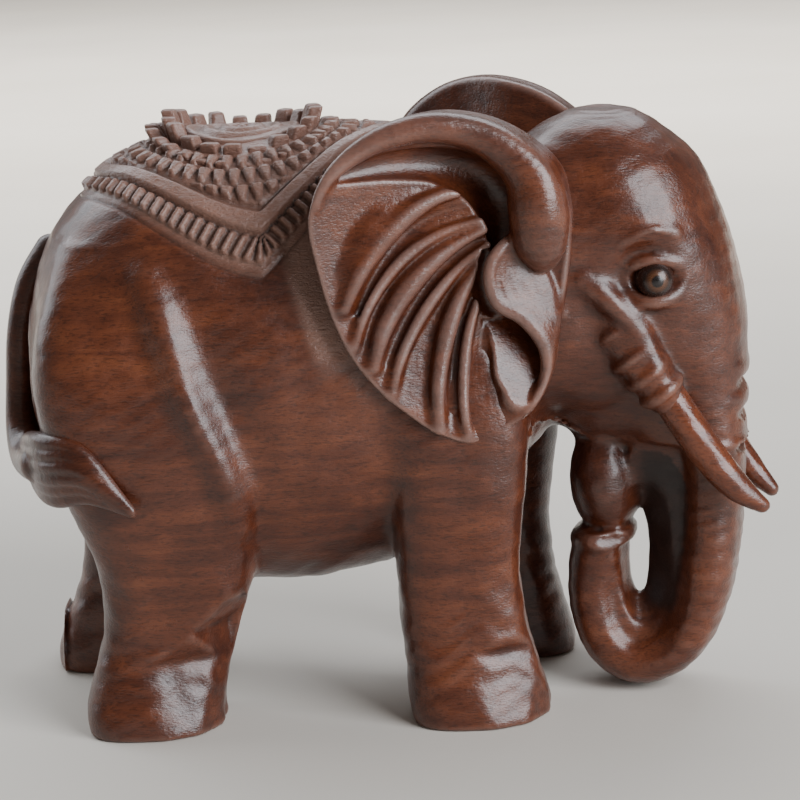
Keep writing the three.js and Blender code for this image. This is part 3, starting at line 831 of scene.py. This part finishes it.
def dust_and_sheen_share(points):
    """Where the tool left the wood rough and pale: the blanket, and a strip of flank behind each ear, where the
    paleness is also a painted sheen of light on the shoulder.
    """
    cloth = (1 - ramp(blanket_share(points), 0.98, 1.10)) * ramp(points[:, 2], 78, 82)
    from_strip = points[:, 0] - ROUGH_STRIP[0] + (points[:, 2] - ROUGH_STRIP[1]) * ROUGH_STRIP_LEAN
    height = ramp(points[:, 2], 66, 76) * (1 - ramp(points[:, 2], 96, 102))
    strip = (1 - ramp(np.abs(from_strip), 2.5, 6.0)) * height
    return np.maximum(cloth, strip * ramp(np.abs(points[:, 1]), 18, 24))


def loop_shade_share(points):
    """Painted shade: where the walls of the trunk's loop are darkened."""
    x, y, z = points.T
    hx, hy = turn(x, y, -HEAD_TURN)
    inside = superellipse(hx - 49.2, z - 27.5, 8.4, 20.6, 2.2) < 0
    return inside * ramp(7.8 - np.abs(hy), 0, 1.5) * ramp(hx, 45, 49) * ramp(z, 13, 18)


def body_piece(material):
    block = carve_block()
    points, faces = block.skin()
    chosen = (blanket_share(points) < 1.11) & on_back(points)
    points, faces = refined(block, points, faces, chosen)
    relief = blanket_relief(points) + skin_relief(points)
    relief *= ramp(points[:, 2], 0.2, 2.0)
    points = points + normals_of(points, faces) * relief[:, None]
    looks = (dust_and_sheen_share(points), loop_shade_share(points))
    return mesh_object("body_carving", points, faces, material, "carved_body", "block_wood", *looks)


def plateau(x, y, z):
    """The ringed top of the boss, following the back's curve."""
    out = np.hypot(x - ROSETTE[0], y - ROSETTE[1])
    top = PLATEAU[1] + PLATEAU_DEPTH * np.cos(2 * math.pi * out / PLATEAU_PITCH) - 0.0165 * y * y
    return np.maximum(np.maximum(out - PLATEAU[0], z - top), top - 6 - z)


def petal(x, y, z, foot, angle, size, lean):
    """A rounded block standing on the back and leaning outwards: size is half depth, half width, height."""
    cos = math.cos(angle)
    sin = math.sin(angle)
    up = z - foot[2]
    out = (x - foot[0]) * cos + (y - foot[1]) * sin - lean * up
    across = (y - foot[1]) * cos - (x - foot[0]) * sin
    gaps = (np.abs(out) - size[0], np.abs(across) - size[1] + 0.12 * up, np.abs(up) - size[2])
    gaps = [gap + PETAL_ROUND for gap in gaps]
    outside = np.sqrt(sum(np.maximum(gap, 0) ** 2 for gap in gaps))
    return outside + np.minimum(np.maximum(np.maximum(gaps[0], gaps[1]), gaps[2]), 0) - PETAL_ROUND


def rosette_piece(material):
    """The crown of upright petals round a sunken stepped boss, carved on top of the blanket."""
    step = 0.36
    cx, cy = ROSETTE
    crown = Carving((cx - 20, cy - 20, 101), (cx + 20, cy + 20, 118), step)
    crown.add((cx - 14, cy - 14, 102), (cx + 14, cy + 14, 116), plateau, 0.5)
    for radius, count, height, width, lean in PETAL_RINGS:
        for k in range(count):
            angle = 2 * math.pi * (k + 0.5 * (radius > 15)) / count
            foot = (cx + radius * math.cos(angle), cy + radius * math.sin(angle))
            base = 109.9 - 0.0175 * foot[1] ** 2 - 0.001 * (foot[0] - cx) ** 2
            tall = height * (1 + 0.10 * math.sin(k * 2.4) + PETAL_WORN * min(math.sin(angle), 0))
            size = (PETAL_DEPTH, width, tall)
            low, high = around([(*foot, base - 2), (*foot, base + tall + 1)], 4.5)
            at = (*foot, base)
            crown.add(low, high, lambda x, y, z, f=at, a=angle, s=size, n=lean: petal(x, y, z, f, a, s, n), 0.4)
    points, faces = crown.skin()
    return mesh_object("rosette_crown", points, faces, material, "carved_body", "block_wood", 1.0)


# ---- Ears ---------------------------------------------------------------------------------------
# The right ear in the head's frame, seen from outside: (x, z) round its edge.
EAR_OUTLINE = [
    (37.4, 91.4), (37.2, 98.0), (34.9, 105.0), (29.4, 110.4), (22.8, 114.0), (14.4, 115.6), (6.6, 114.0),
    (0.2, 110.0), (-4.2, 104.6), (-6.5, 97.6), (-5.6, 89.0), (-3.6, 80.0), (-0.4, 71.9), (4.1, 65.4),
    (8.6, 61.0), (13.0, 57.6), (19.6, 55.0), (26.4, 57.6), (30.6, 61.2), (33.6, 67.4), (34.8, 74.6), (36.4, 83.0),
]
# The ridges of the fan. Each leaves the hub towards a bend and comes from it to the edge: (x, z) of the three,
# how thick it is at the hub, on the way and at the edge, and how far it stands out.
EAR_RIDGES = [
    ((9, 100), (1, 95.5), (-2.5, 83.5), (3.0, 4.8, 3.0), -1.9),
    ((18.5, 101), (6, 100), (-1.5, 81.5), (0.8, 2.1, 1.4), 1.9),
    ((22, 95.5), (5, 93), (0, 74.5), (0.7, 1.3, 1.0), 1.9),
    ((22.5, 94), (7, 88.5), (3, 70.5), (0.8, 2.2, 1.5), 2.0),
    ((23, 91), (10, 83), (6, 65.5), (0.6, 1.35, 1.0), 1.8),
    ((22.5, 89), (13, 78), (14, 58.5), (0.8, 1.8, 1.3), 2.0),
    ((21, 81), (17, 71), (19, 57), (0.7, 1.1, 0.9), 2.2),
    ((24, 75), (29, 67), (26.5, 61), (1.4, 4.8, 2.8), 0.4),
]
RIDGE_POINTS = 7
# The lobe at the foot of the fan is cut to a flat: which way it faces, and where on it.
LOBE_FLAT_FACING = (0.53, 0.75, 0.39)
LOBE_FLAT = (27.2, 66.4, 2.4)
RIDGE_DIP = 1.4  # how much lower each ridge is where it meets the edge
# The dark valleys cut beside the broad ridges, given in the same way.
EAR_GROOVES = [
    ((19.5, 98), (7, 97), (1, 80.5), (0.5, 1.1, 0.5)),
    ((20.5, 91.5), (11, 86), (5.5, 71), (0.4, 0.9, 0.4)),
    ((18, 78), (16, 70), (16.5, 61.5), (0.3, 0.65, 0.3)),
    ((22, 77), (21, 68), (22, 60), (0.6, 1.5, 1.2)),
]
EAR_GROOVE_STAND = 1.5
EAR_POCKET = [(-0.6, 105.2), (7.5, 106.4), (15.5, 105.8), (21.4, 102.8), (24.8, 97.6), (25.0, 91.4)]
EAR_FLANGE = [(28, 93), (24, 88.5), (24.5, 81.5), (30, 77), (33, 71), (32, 64.5), (29, 61)]
FLANGE_FOOT = [
    (30.4, 92.0), (30.0, 89.4), (30.4, 87.0), (31.6, 84.8), (32.6, 82.0), (33.2, 79.0), (33.8, 77.0),
    (34.2, 74.4), (34.2, 71.0), (33.8, 67.6), (32.0, 64.0), (29.4, 61.0),
]
FLANGE_STAND = (3.6, 4.6, 5.2, 5.2, 5.0, 4.6, 4.2, 3.4, 2.6, 2.0, 1.6, 1.2)
FLANGE_RADII = (0.8, 1.1, 1.2, 1.3, 1.3, 1.3, 1.3, 1.2, 1.1, 1.0, 0.9, 0.7)
FLANGE_FOOT_STAND = 0.6
FLANGE_FOOT_RADII = (0.9, 1.4, 1.8, 2.0, 2.0, 1.9, 1.8, 1.6, 1.4, 1.2, 1.0, 0.7)
FLANGE_SHEETS = 5
UNDERCUT = [(22.4, 89.4), (21.7, 85.0), (22.6, 80.4), (25.2, 77.2), (28.6, 74.9), (30.8, 72.4), (31.2, 69.0)]
EAR_RIM = [
    (-4.9, 100.0), (-3.9, 103.0), (-1.6, 106.4), (2.6, 109.6), (7.8, 112.0), (14.6, 113.0), (21.6, 111.6),
    (27.4, 108.2), (31.4, 103.4), (32.4, 98.0), (32.4, 92.6), (32.6, 89.4),
]
EAR_RIM_RADII = (0.6, 1.0, 1.4, 1.8, 2.3, 2.7, 3.2, 4.1, 5.0, 5.6, 5.0, 3.4)
EAR_FACE = 1.0  # the face and back of the sheet, from its middle surface
EAR_BACK = 2.6
EAR_DISH = 3.8
EAR_TRIM = 0.3  # how far outside its edge the ear's ridges are trimmed
LEFT_EAR_SWING = math.radians(10)
EAR_SWING_AT = (35.0, 24.0)


def ear_sheet(x, z):
    """The ear's middle surface: y (left side) at a place on it, flared at the back and dished."""
    flare = 23.2 + 0.415 * (37 - x)
    from_middle = ((x - 17) / 22) ** 2 + ((z - 86) / 30) ** 2
    return flare + EAR_DISH * (np.clip(from_middle, 0, 1.6) - 0.86)


def outline_distance(x, z, outline):
    """Signed distance in the plane to a closed smooth line."""
    line = smooth_loop(outline, 8)
    best = np.full(x.shape, 1e9)
    inside = np.zeros(x.shape, bool)
    for a, b in zip(line, np.roll(line, -1, axis=0)):
        d = b - a
        t = np.clip(((x - a[0]) * d[0] + (z - a[1]) * d[1]) / max(d @ d, 1e-9), 0, 1)
        best = np.minimum(best, (x - a[0] - t * d[0]) ** 2 + (z - a[1] - t * d[1]) ** 2)
        crosses = (a[1] > z) != (b[1] > z)
        rise = d[1] if abs(d[1]) > 1e-9 else 1e-9
        inside ^= crosses & (x < a[0] + (z - a[1]) * d[0] / rise)
    return np.where(inside, -1, 1) * np.sqrt(best)


def ear_line(points, stand):
    """A line on the ear: its (x, z) places lifted to a height outside the middle surface."""
    lifts = stand if np.ndim(stand) else [stand] * len(points)
    return [(x, float(ear_sheet(x, z)) + lift, z) for (x, z), lift in zip(points, lifts)]


def beyond_ear(x, y, z):
    """The space outside the ear's edge."""
    distance = outline_distance(x[:, 0, :], z[:, 0, :], EAR_OUTLINE)[:, None, :]
    return np.broadcast_to(EAR_TRIM - distance, x.shape)


def carve_ear():
    """The left ear's field in the head's frame; the right ear is its mirror image."""
    step = 0.42
    ear = Carving((-10, 16, 51), (42, 50, 120), step)
    low = ear.low
    high = low + step * (ear.counts - 1)

    def slab(x, y, z):
        flat_x = x[:, 0, :]
        flat_z = z[:, 0, :]
        edge = outline_distance(flat_x, flat_z, EAR_OUTLINE)[:, None, :] + EAR_FACE
        off = (y - ear_sheet(x, z)) * 0.92
        back = np.where(off < 0, EAR_BACK + 3.0 * ramp(x, 8, 20), EAR_FACE)
        face = np.abs(off) - back + EAR_FACE
        outside = np.hypot(np.maximum(edge, 0), np.maximum(face, 0))
        return outside + np.minimum(np.maximum(edge, face), 0) - EAR_FACE

    ear.add(low, high, slab, 0.5)

    def bar(points, radii, stand, k, steps=30, cut=False):
        line = ear_line(points, stand)
        first, last = around(line, max(radii) + k + 1)
        work = ear.cut if cut else ear.add
        work(first, last, lambda x, y, z: chain(x, y, z, line, radii, steps), k)

    for hub, bend, foot, sizes, stand in EAR_RIDGES:
        ridge, radii = bent(hub, bend, foot, sizes, RIDGE_POINTS)
        stands = [stand] * (RIDGE_POINTS - 1) + [stand - RIDGE_DIP]
        bar(ridge, radii, stands, 1.3)
    x, z, lift = LOBE_FLAT
    place = (x, float(ear_sheet(x, z)) + lift, z)
    ear.cut((21.6, 20, 56), (34, 48, 77), lambda x, y, z: flat(x, y, z, LOBE_FLAT_FACING, place, 90), 0.3)
    for hub, bend, foot, sizes in EAR_GROOVES:
        groove, radii = bent(hub, bend, foot, sizes, RIDGE_POINTS)
        bar(groove, radii, EAR_GROOVE_STAND, 0.9, cut=True)
    bar(EAR_POCKET, (1.4, 2.6, 3.3, 4.1, 4.2, 2.4), (1.4, 1.2, 1.0, 0.2, -0.2, 0.4), 0.6, 34, True)
    bar(UNDERCUT, (1.0, 1.5, 1.7, 1.6, 1.5, 1.3, 0.7), 1.7, 0.7, 30, True)
    rim_stand = (0.4, 0.5, 0.7, 1.0, 1.5, 1.9, 2.3, 3.0, 3.8, 4.3, 4.3, 3.6)
    bar(EAR_RIM, EAR_RIM_RADII, rim_stand, 0.9, 44)
    edge = np.array(ear_line(smooth_rows(EAR_FLANGE, len(FLANGE_STAND)), FLANGE_STAND))
    foot = np.array(ear_line(FLANGE_FOOT, FLANGE_FOOT_STAND))
    for k in range(FLANGE_SHEETS + 1):
        share = k / FLANGE_SHEETS
        line = edge * (1 - share) + foot * share
        radii = np.array(FLANGE_RADII) * (1 - share) + np.array(FLANGE_FOOT_RADII) * share
        first, last = around(line, 5)
        ear.add(first, last, lambda x, y, z, p=line, r=radii: chain(x, y, z, p, r, 40), 0.9)
    ear.cut(low, high, beyond_ear, 0.8)
    return ear


def ear_piece(ear, side, name, node, material):
    points, faces = ear.skin()
    hx, hy, z = points.T
    if side > 0:
        hx, hy = turn(hx, hy, LEFT_EAR_SWING, *EAR_SWING_AT)
    else:
        hy = -hy
        faces = faces[:, ::-1]
    x, y = turn(hx, hy, HEAD_TURN)
    return mesh_object(name, np.stack([x, y, z], 1), faces, material, node, "ear_wood")


# ---- Tusks, tail and eyes ---------------------------------------------------------------------
TUSK = [(50.8, 14.2, 65.5), (54.4, 14.4, 59.2), (60.2, 14.4, 50.4), (65.6, 13.9, 43.6), (70.6, 13.1, 39.6)]
TUSK_RADII = (2.9, 3.3, 3.3, 2.8, 1.5)
TUSK_DROP = {-1: 0.0, 1: 3.9}

TAIL = [
    (-65.6, 0, 88.4), (-69.6, -0.9, 82), (-71.9, -1.8, 73), (-72.7, -2.6, 63), (-72.6, -4.4, 54.6),
    (-70.6, -10, 50.6), (-67.4, -20, 51.4),
]
TAIL_RADII = (3.0, 2.9, 2.8, 2.8, 3.2, 3.8, 3.8)
# The tuft lies on the right thigh: strands from the tail's end to the tip.
TUFT = [(-71.0, -9, 50.4), (-68.4, -19.6, 51.0), (-64.4, -29.6, 52.0), (-57.4, -34.4, 52.2), (-49.2, -35.4, 45.6)]
TUFT_SPREAD = (2.4, 4.6, 5.4, 4.2, 0.6)
TUFT_STRANDS = 6


def tusk_piece(side, name, node, material):
    line = [(x, side * y, z - TUSK_DROP[side] * k / (len(TUSK) - 1)) for k, (x, y, z) in enumerate(TUSK)]
    low, high = around(line, 6)
    tusk = Carving(low, high, 0.4)
    tusk.add(low, high, lambda x, y, z: chain(x, y, z, line, TUSK_RADII, 36), 0.2)
    points, faces = tusk.skin()
    hx, hy, z = points.T
    grain = 0.06 * np.sin(hx * 1.1 + z * 1.7) * np.sin(hy * 2.3)
    points = points + normals_of(points, faces) * grain[:, None]
    x, y = turn(points[:, 0], points[:, 1], HEAD_TURN)
    return mesh_object(name, np.stack([x, y, points[:, 2]], 1), faces, material, node, "tusk_wood")


def tail_piece(material):
    low, high = around(TAIL + TUFT, 8)
    tail = Carving(low, high, 0.4)
    tail.add(low, high, lambda x, y, z: chain(x, y, z, TAIL, TAIL_RADII, 40), 0.2)
    for k in range(TUFT_STRANDS):
        share = k / (TUFT_STRANDS - 1) * 2 - 1
        strand = []
        for (x, y, z), spread in zip(TUFT, TUFT_SPREAD):
            strand.append((x - 0.15 * share * spread, y + 0.35 * abs(share) * spread, z + share * spread))
        radii = (1.3, 1.6, 1.7, 1.4, 0.6)
        tail.add(low, high, lambda x, y, z, s=strand, r=radii: chain(x, y, z, s, r, 24), 0.5)
    points, faces = tail.skin()
    return mesh_object("tail_carving", points, faces, material, "tail", "tail_wood")


def eye_piece(side, name, node, material):
    """A domed bead, a little fuller over its pupil."""
    bm = bmesh.new()
    bmesh.ops.create_uvsphere(bm, u_segments=48, v_segments=32, radius=EYE_RADIUS)
    for v in bm.verts:
        tilt = math.acos(max(-1, min(1, v.co.z / EYE_RADIUS)))
        v.co *= 1 + 0.02 * math.exp(-((tilt / 0.45) ** 2))
    outwards = Vector((0.28, side, 0.02)).normalized()
    spin = Vector((0, 0, 1)).rotation_difference(outwards).to_matrix().to_4x4()
    head = Matrix.Translation((HEAD_PIVOT_X, 0, 0)) @ Matrix.Rotation(HEAD_TURN, 4, "Z")
    head = head @ Matrix.Translation((EYE[0] - HEAD_PIVOT_X, side * EYE[1], EYE[2]))
    bm.transform(head @ spin)
    mesh = bpy.data.meshes.new(name)
    facing = (head.to_3x3() @ outwards).normalized()
    centre = head.translation
    bm.to_mesh(mesh)
    bm.free()
    layer = mesh.attributes.new("off_pupil", "FLOAT", "POINT")
    cosines = [(v.co - centre).normalized() @ facing for v in mesh.vertices]
    layer.data.foreach_set("value", [math.acos(max(-1, min(1, c))) for c in cosines])
    for v in mesh.vertices:
        v.co = Vector(placed(v.co))
    mesh.shade_smooth()
    mesh.materials.append(material)
    piece = bpy.data.objects.new(name, mesh)
    bpy.context.scene.collection.objects.link(piece)
    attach(piece, "root")
    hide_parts(node)
    return piece


# ---- Materials ------------------------------------------------------------------------------------
WOOD_DARK = (0.032, 0.0072, 0.0034)
WOOD_MIDDLE = (0.070, 0.0170, 0.0068)
WOOD_WARM = (0.110, 0.0285, 0.0108)
WOOD_LIGHT = (0.160, 0.0470, 0.0185)
WOOD_CREST_HIGHLIGHT = (0.30, 0.190, 0.160)  # painted highlight on broad crests
WOOD_WORN_AND_HIGHLIGHT = (0.24, 0.130, 0.098)  # fine edges rubbed pale as wear, made stronger on the ears as a painted highlight
WOOD_LOOP_SHADE = (0.0060, 0.0028, 0.0022)  # painted shade on the walls of the trunk's loop
WOOD_HOLLOW_SHADE = (0.0075, 0.0030, 0.0022)  # painted shade in the hollows and broad recesses
WOOD_DUST_AND_SHEEN = (0.270, 0.152, 0.116)  # raw, tooled wood; on the strip behind each ear also a painted sheen


class Nodes:
    """Short names for building a material's node tree."""

    def __init__(self, name):
        self.material = bpy.data.materials.new(name)
        self.material.use_nodes = True
        self.tree = self.material.node_tree
        self.shader = self.tree.nodes["Principled BSDF"]

    def new(self, kind, **settings):
        node = self.tree.nodes.new(kind)
        for key, value in settings.items():
            setattr(node, key, value)
        return node

    def link(self, source, target):
        self.tree.links.new(source, target)

    def noise(self, coords, scale, detail=4.0, rough=0.55, distortion=0.0):
        node = self.new("ShaderNodeTexNoise")
        node.inputs["Scale"].default_value = scale
        node.inputs["Detail"].default_value = detail
        node.inputs["Roughness"].default_value = rough
        node.inputs["Distortion"].default_value = distortion
        self.link(coords, node.inputs["Vector"])
        return node.outputs["Fac"]

    def stretched(self, coords, scale):
        node = self.new("ShaderNodeMapping")
        node.inputs["Scale"].default_value = scale
        self.link(coords, node.inputs["Vector"])
        return node.outputs["Vector"]

    def ramp(self, value, stops):
        node = self.new("ShaderNodeValToRGB")
        elements = node.color_ramp.elements
        while len(elements) < len(stops):
            elements.new(0.5)
        for element, (place, colour) in zip(elements, stops):
            element.position = place
            element.color = (*colour, 1) if len(colour) == 3 else colour
        self.link(value, node.inputs["Fac"])
        return node.outputs["Color"]

    def range(self, value, start, end, low=0.0, high=1.0):
        node = self.new("ShaderNodeMapRange", clamp=True)
        for key, number in (("From Min", start), ("From Max", end), ("To Min", low), ("To Max", high)):
            node.inputs[key].default_value = number
        self.link(value, node.inputs["Value"])
        return node.outputs["Result"]

    def mix(self, factor, a, b, blend="MIX"):
        node = self.new("ShaderNodeMix", data_type="RGBA", blend_type=blend)
        for key, value in ((0, factor), (6, a), (7, b)):
            if isinstance(value, (int, float)):
                node.inputs[key].default_value = value
            elif isinstance(value, tuple):
                node.inputs[key].default_value = (*value, 1)
            else:
                self.link(value, node.inputs[key])
        return node.outputs[2]

    def maths(self, operation, a, b=0.0):
        node = self.new("ShaderNodeMath", operation=operation)
        for key, value in ((0, a), (1, b)):
            if isinstance(value, (int, float)):
                node.inputs[key].default_value = value
            else:
                self.link(value, node.inputs[key])
        return node.outputs[0]

    def attribute(self, name):
        return self.new("ShaderNodeAttribute", attribute_name=name).outputs["Fac"]

    def bump(self, height, distance, strength, below=None):
        node = self.new("ShaderNodeBump")
        node.inputs["Distance"].default_value = distance
        node.inputs["Strength"].default_value = strength
        self.link(height, node.inputs["Height"])
        if below is not None:
            self.link(below, node.inputs["Normal"])
        return node.outputs["Normal"]


def wood(name, lift=1.0, gloss=0.0, wear_and_highlight=0.45, crest_highlight=0.0):
    """Dark oiled hardwood: fine streaky grain, open pores, high places lightened as wear and as painted
    highlight, low places darkened as painted shade.
    """
    n = Nodes(name)
    coords = n.new("ShaderNodeTexCoord").outputs["Object"]
    streaks = n.noise(n.stretched(coords, (60, 300, 300)), 1.0, 6, 0.6, 0.6)
    cloud = n.noise(coords, 34, 4, 0.55)
    grain = n.maths("ADD", n.maths("MULTIPLY", streaks, 0.55), n.maths("MULTIPLY", cloud, 0.45))
    colour = n.ramp(
        grain,
        [
            (0.34, tuple(lift * c for c in WOOD_DARK)),
            (0.48, tuple(lift * c for c in WOOD_MIDDLE)),
            (0.58, tuple(lift * c for c in WOOD_WARM)),
            (0.72, tuple(lift * c for c in WOOD_LIGHT)),
        ],
    )
    pores = n.noise(n.stretched(coords, (700, 3200, 3200)), 1.0, 2, 0.5)
    colour = n.mix(1.0, colour, n.range(pores, 0.34, 0.48, 0.62, 1.0), "MULTIPLY")
    fine = n.attribute("fine_hollow")
    broad = n.attribute("broad_hollow")
    low = n.maths("MAXIMUM", n.range(fine, 0.03, 0.26), n.range(broad, 0.15, 1.5))
    dust_and_sheen = n.attribute("dust_and_sheen")
    # Rough tooled wood is paler; on the strip behind each ear this is also a painted sheen.
    colour = n.mix(n.maths("MULTIPLY", dust_and_sheen, 0.70), colour, WOOD_DUST_AND_SHEEN)
    # Painted shade: the hollows and broad recesses are darkened.
    colour = n.mix(n.maths("MULTIPLY", low, 0.80), colour, WOOD_HOLLOW_SHADE)
    # Painted shade on the walls of the trunk's loop.
    colour = n.mix(n.maths("MULTIPLY", n.attribute("loop_shade"), 0.85), colour, WOOD_LOOP_SHADE)
    # Fine edges lightened: wear, and on the ears a painted highlight.
    high = n.range(fine, -0.04, -0.26)
    colour = n.mix(n.maths("MULTIPLY", high, wear_and_highlight), colour, WOOD_WORN_AND_HIGHLIGHT)
    # Painted highlight on the broad crests, used on the ears.
    top = n.range(broad, -0.12, -0.50)
    colour = n.mix(n.maths("MULTIPLY", top, crest_highlight), colour, WOOD_CREST_HIGHLIGHT)
    n.link(colour, n.shader.inputs["Base Color"])
    wear = n.noise(coords, 110, 5, 0.6)
    dull = n.maths("MAXIMUM", low, n.attribute("loop_shade"))
    rough = n.maths("ADD", n.range(wear, 0.3, 0.7, 0.27 - gloss, 0.40 - gloss), n.maths("MULTIPLY", dull, 0.25))
    n.link(rough, n.shader.inputs["Roughness"])
    n.shader.inputs["IOR"].default_value = 1.45
    n.shader.inputs["Coat Weight"].default_value = 0.28
    n.shader.inputs["Coat Roughness"].default_value = 0.20
    dents = n.noise(coords, 520, 4, 0.6)
    normal = n.bump(pores, 0.0003, 0.30)
    normal = n.bump(streaks, 0.0004, 0.22, normal)
    normal = n.bump(dents, 0.0006, 0.26, normal)
    tooling = n.maths("MULTIPLY", n.noise(n.stretched(coords, (700, 700, 1500)), 1.0, 3, 0.6, 1.2), dust_and_sheen)
    normal = n.bump(tooling, 0.0012, 0.45, normal)
    n.link(normal, n.shader.inputs["Normal"])
    return n.material


def eye_material():
    """A dark bead with a black pupil, an amber ring and fine flecks."""
    n = Nodes("eye_bead")
    coords = n.new("ShaderNodeTexCoord").outputs["Object"]
    flecks = n.noise(coords, 2600, 3, 0.6)
    angle = n.maths("ADD", n.attribute("off_pupil"), n.maths("MULTIPLY", flecks, 0.08))
    colour = n.ramp(
        n.range(angle, 0.0, 1.2),
        [
            (0.00, (0.004, 0.003, 0.003)),
            (0.26, (0.006, 0.003, 0.003)),
            (0.34, (0.080, 0.030, 0.012)),
            (0.52, (0.040, 0.013, 0.005)),
            (0.64, (0.010, 0.004, 0.003)),
            (1.00, (0.030, 0.011, 0.007)),
        ],
    )
    n.link(colour, n.shader.inputs["Base Color"])
    n.link(n.range(flecks, 0.3, 0.7, 0.22, 0.36), n.shader.inputs["Roughness"])
    n.shader.inputs["Coat Weight"].default_value = 0.1
    n.shader.inputs["Coat Roughness"].default_value = 0.10
    n.link(n.bump(flecks, 0.00005, 0.2), n.shader.inputs["Normal"])
    return n.material


def floor_material():
    n = Nodes("floor")
    coords = n.new("ShaderNodeTexCoord").outputs["Object"]
    cloud = n.noise(coords, 6, 3, 0.5)
    n.link(n.ramp(cloud, [(0.3, (0.61, 0.57, 0.51)), (0.7, (0.66, 0.62, 0.56))]), n.shader.inputs["Base Color"])
    n.shader.inputs["Roughness"].default_value = 0.85
    return n.material


# ---- Floor, lights and camera ---------------------------------------------------------------------
FOCAL_LENGTH = 112.5  # millimetres, on a 36 mm sensor
CAMERA_PITCH = math.radians(13.1)
CAMERA_ROLL = math.radians(2.0)
CAMERA_AT = (0.0, -471.4, 166.2)


def make_camera():
    data = bpy.data.cameras.new("camera")
    data.sensor_width = 36
    data.lens = FOCAL_LENGTH
    data.clip_start = 0.01
    data.clip_end = 20
    camera = bpy.data.objects.new("camera", data)
    bpy.context.scene.collection.objects.link(camera)
    ahead = Vector((0, math.cos(CAMERA_PITCH), -math.sin(CAMERA_PITCH)))
    right = Vector((1, 0, 0))
    up = right.cross(ahead)
    rolled_right = right * math.cos(CAMERA_ROLL) - up * math.sin(CAMERA_ROLL)
    rolled_up = right * math.sin(CAMERA_ROLL) + up * math.cos(CAMERA_ROLL)
    turned = Matrix((rolled_right, rolled_up, -ahead)).transposed().to_4x4()
    camera.matrix_world = Matrix.Translation(placed(CAMERA_AT)) @ turned
    bpy.context.scene.camera = camera


def area_light(name, place, size, power, colour, aim=(0, 0, 60)):
    data = bpy.data.lights.new(name, "AREA")
    data.shape = "RECTANGLE"
    data.size, data.size_y = size
    data.energy = power
    data.color = colour
    light = bpy.data.objects.new(name, data)
    bpy.context.scene.collection.objects.link(light)
    target = Vector(placed(aim))
    light.location = Vector(placed(place))
    light.rotation_euler = (target - light.location).to_track_quat("-Z", "Y").to_euler()


def make_lights():
    world = bpy.data.worlds.new("studio")
    world.use_nodes = True
    background = world.node_tree.nodes["Background"]
    background.inputs["Color"].default_value = (0.95, 0.89, 0.82, 1)
    background.inputs["Strength"].default_value = 0.20
    bpy.context.scene.world = world
    area_light("window", (500, -440, 330), (0.46, 0.56), 9.4, (0.92, 0.95, 1.0))
    area_light("sky", (-60, 420, 560), (0.9, 0.5), 4.4, (0.90, 0.94, 1.0))
    area_light("back", (-560, 260, 360), (0.5, 0.6), 2.6, (0.88, 0.94, 1.0))
    area_light("distance", (0, 900, 900), (2.0, 0.6), 60.0, (1.0, 0.98, 0.95), (0, 1900, 0))


def make_floor():
    size = 3.0
    mesh = bpy.data.meshes.new("floor")
    corners = [(-size, -size, 0), (size, -size, 0), (size, size, 0), (-size, size, 0)]
    level = CAD_BOX[0].z - 0.0001
    mesh.from_pydata([(x, y, level) for x, y, _ in corners], [], [(0, 1, 2, 3)])
    mesh.materials.append(floor_material())
    floor = bpy.data.objects.new("floor", mesh)
    bpy.context.scene.collection.objects.link(floor)


make_camera()
make_lights()
make_floor()
block_wood = wood("block_wood")
body_piece(block_wood)
rosette_piece(block_wood)
# The ears get stronger painted highlights on their edges and crests.
ear_wood = wood("ear_wood", 1.0, 0.03, 0.60, 0.42)
left_ear = carve_ear()
ear_piece(left_ear, -1, "right_ear_carving", "right_ear", ear_wood)
ear_piece(left_ear, 1, "left_ear_carving", "left_ear", ear_wood)
tusk_wood = wood("tusk_wood", 1.25, 0.06)
tusk_piece(-1, "right_tusk_carving", "right_tusk", tusk_wood)
tusk_piece(1, "left_tusk_carving", "left_tusk", tusk_wood)
tail_piece(wood("tail_wood", 0.9))
bead = eye_material()
eye_piece(-1, "right_eye_bead", "right_eye", bead)
eye_piece(1, "left_eye_bead", "left_eye", bead)
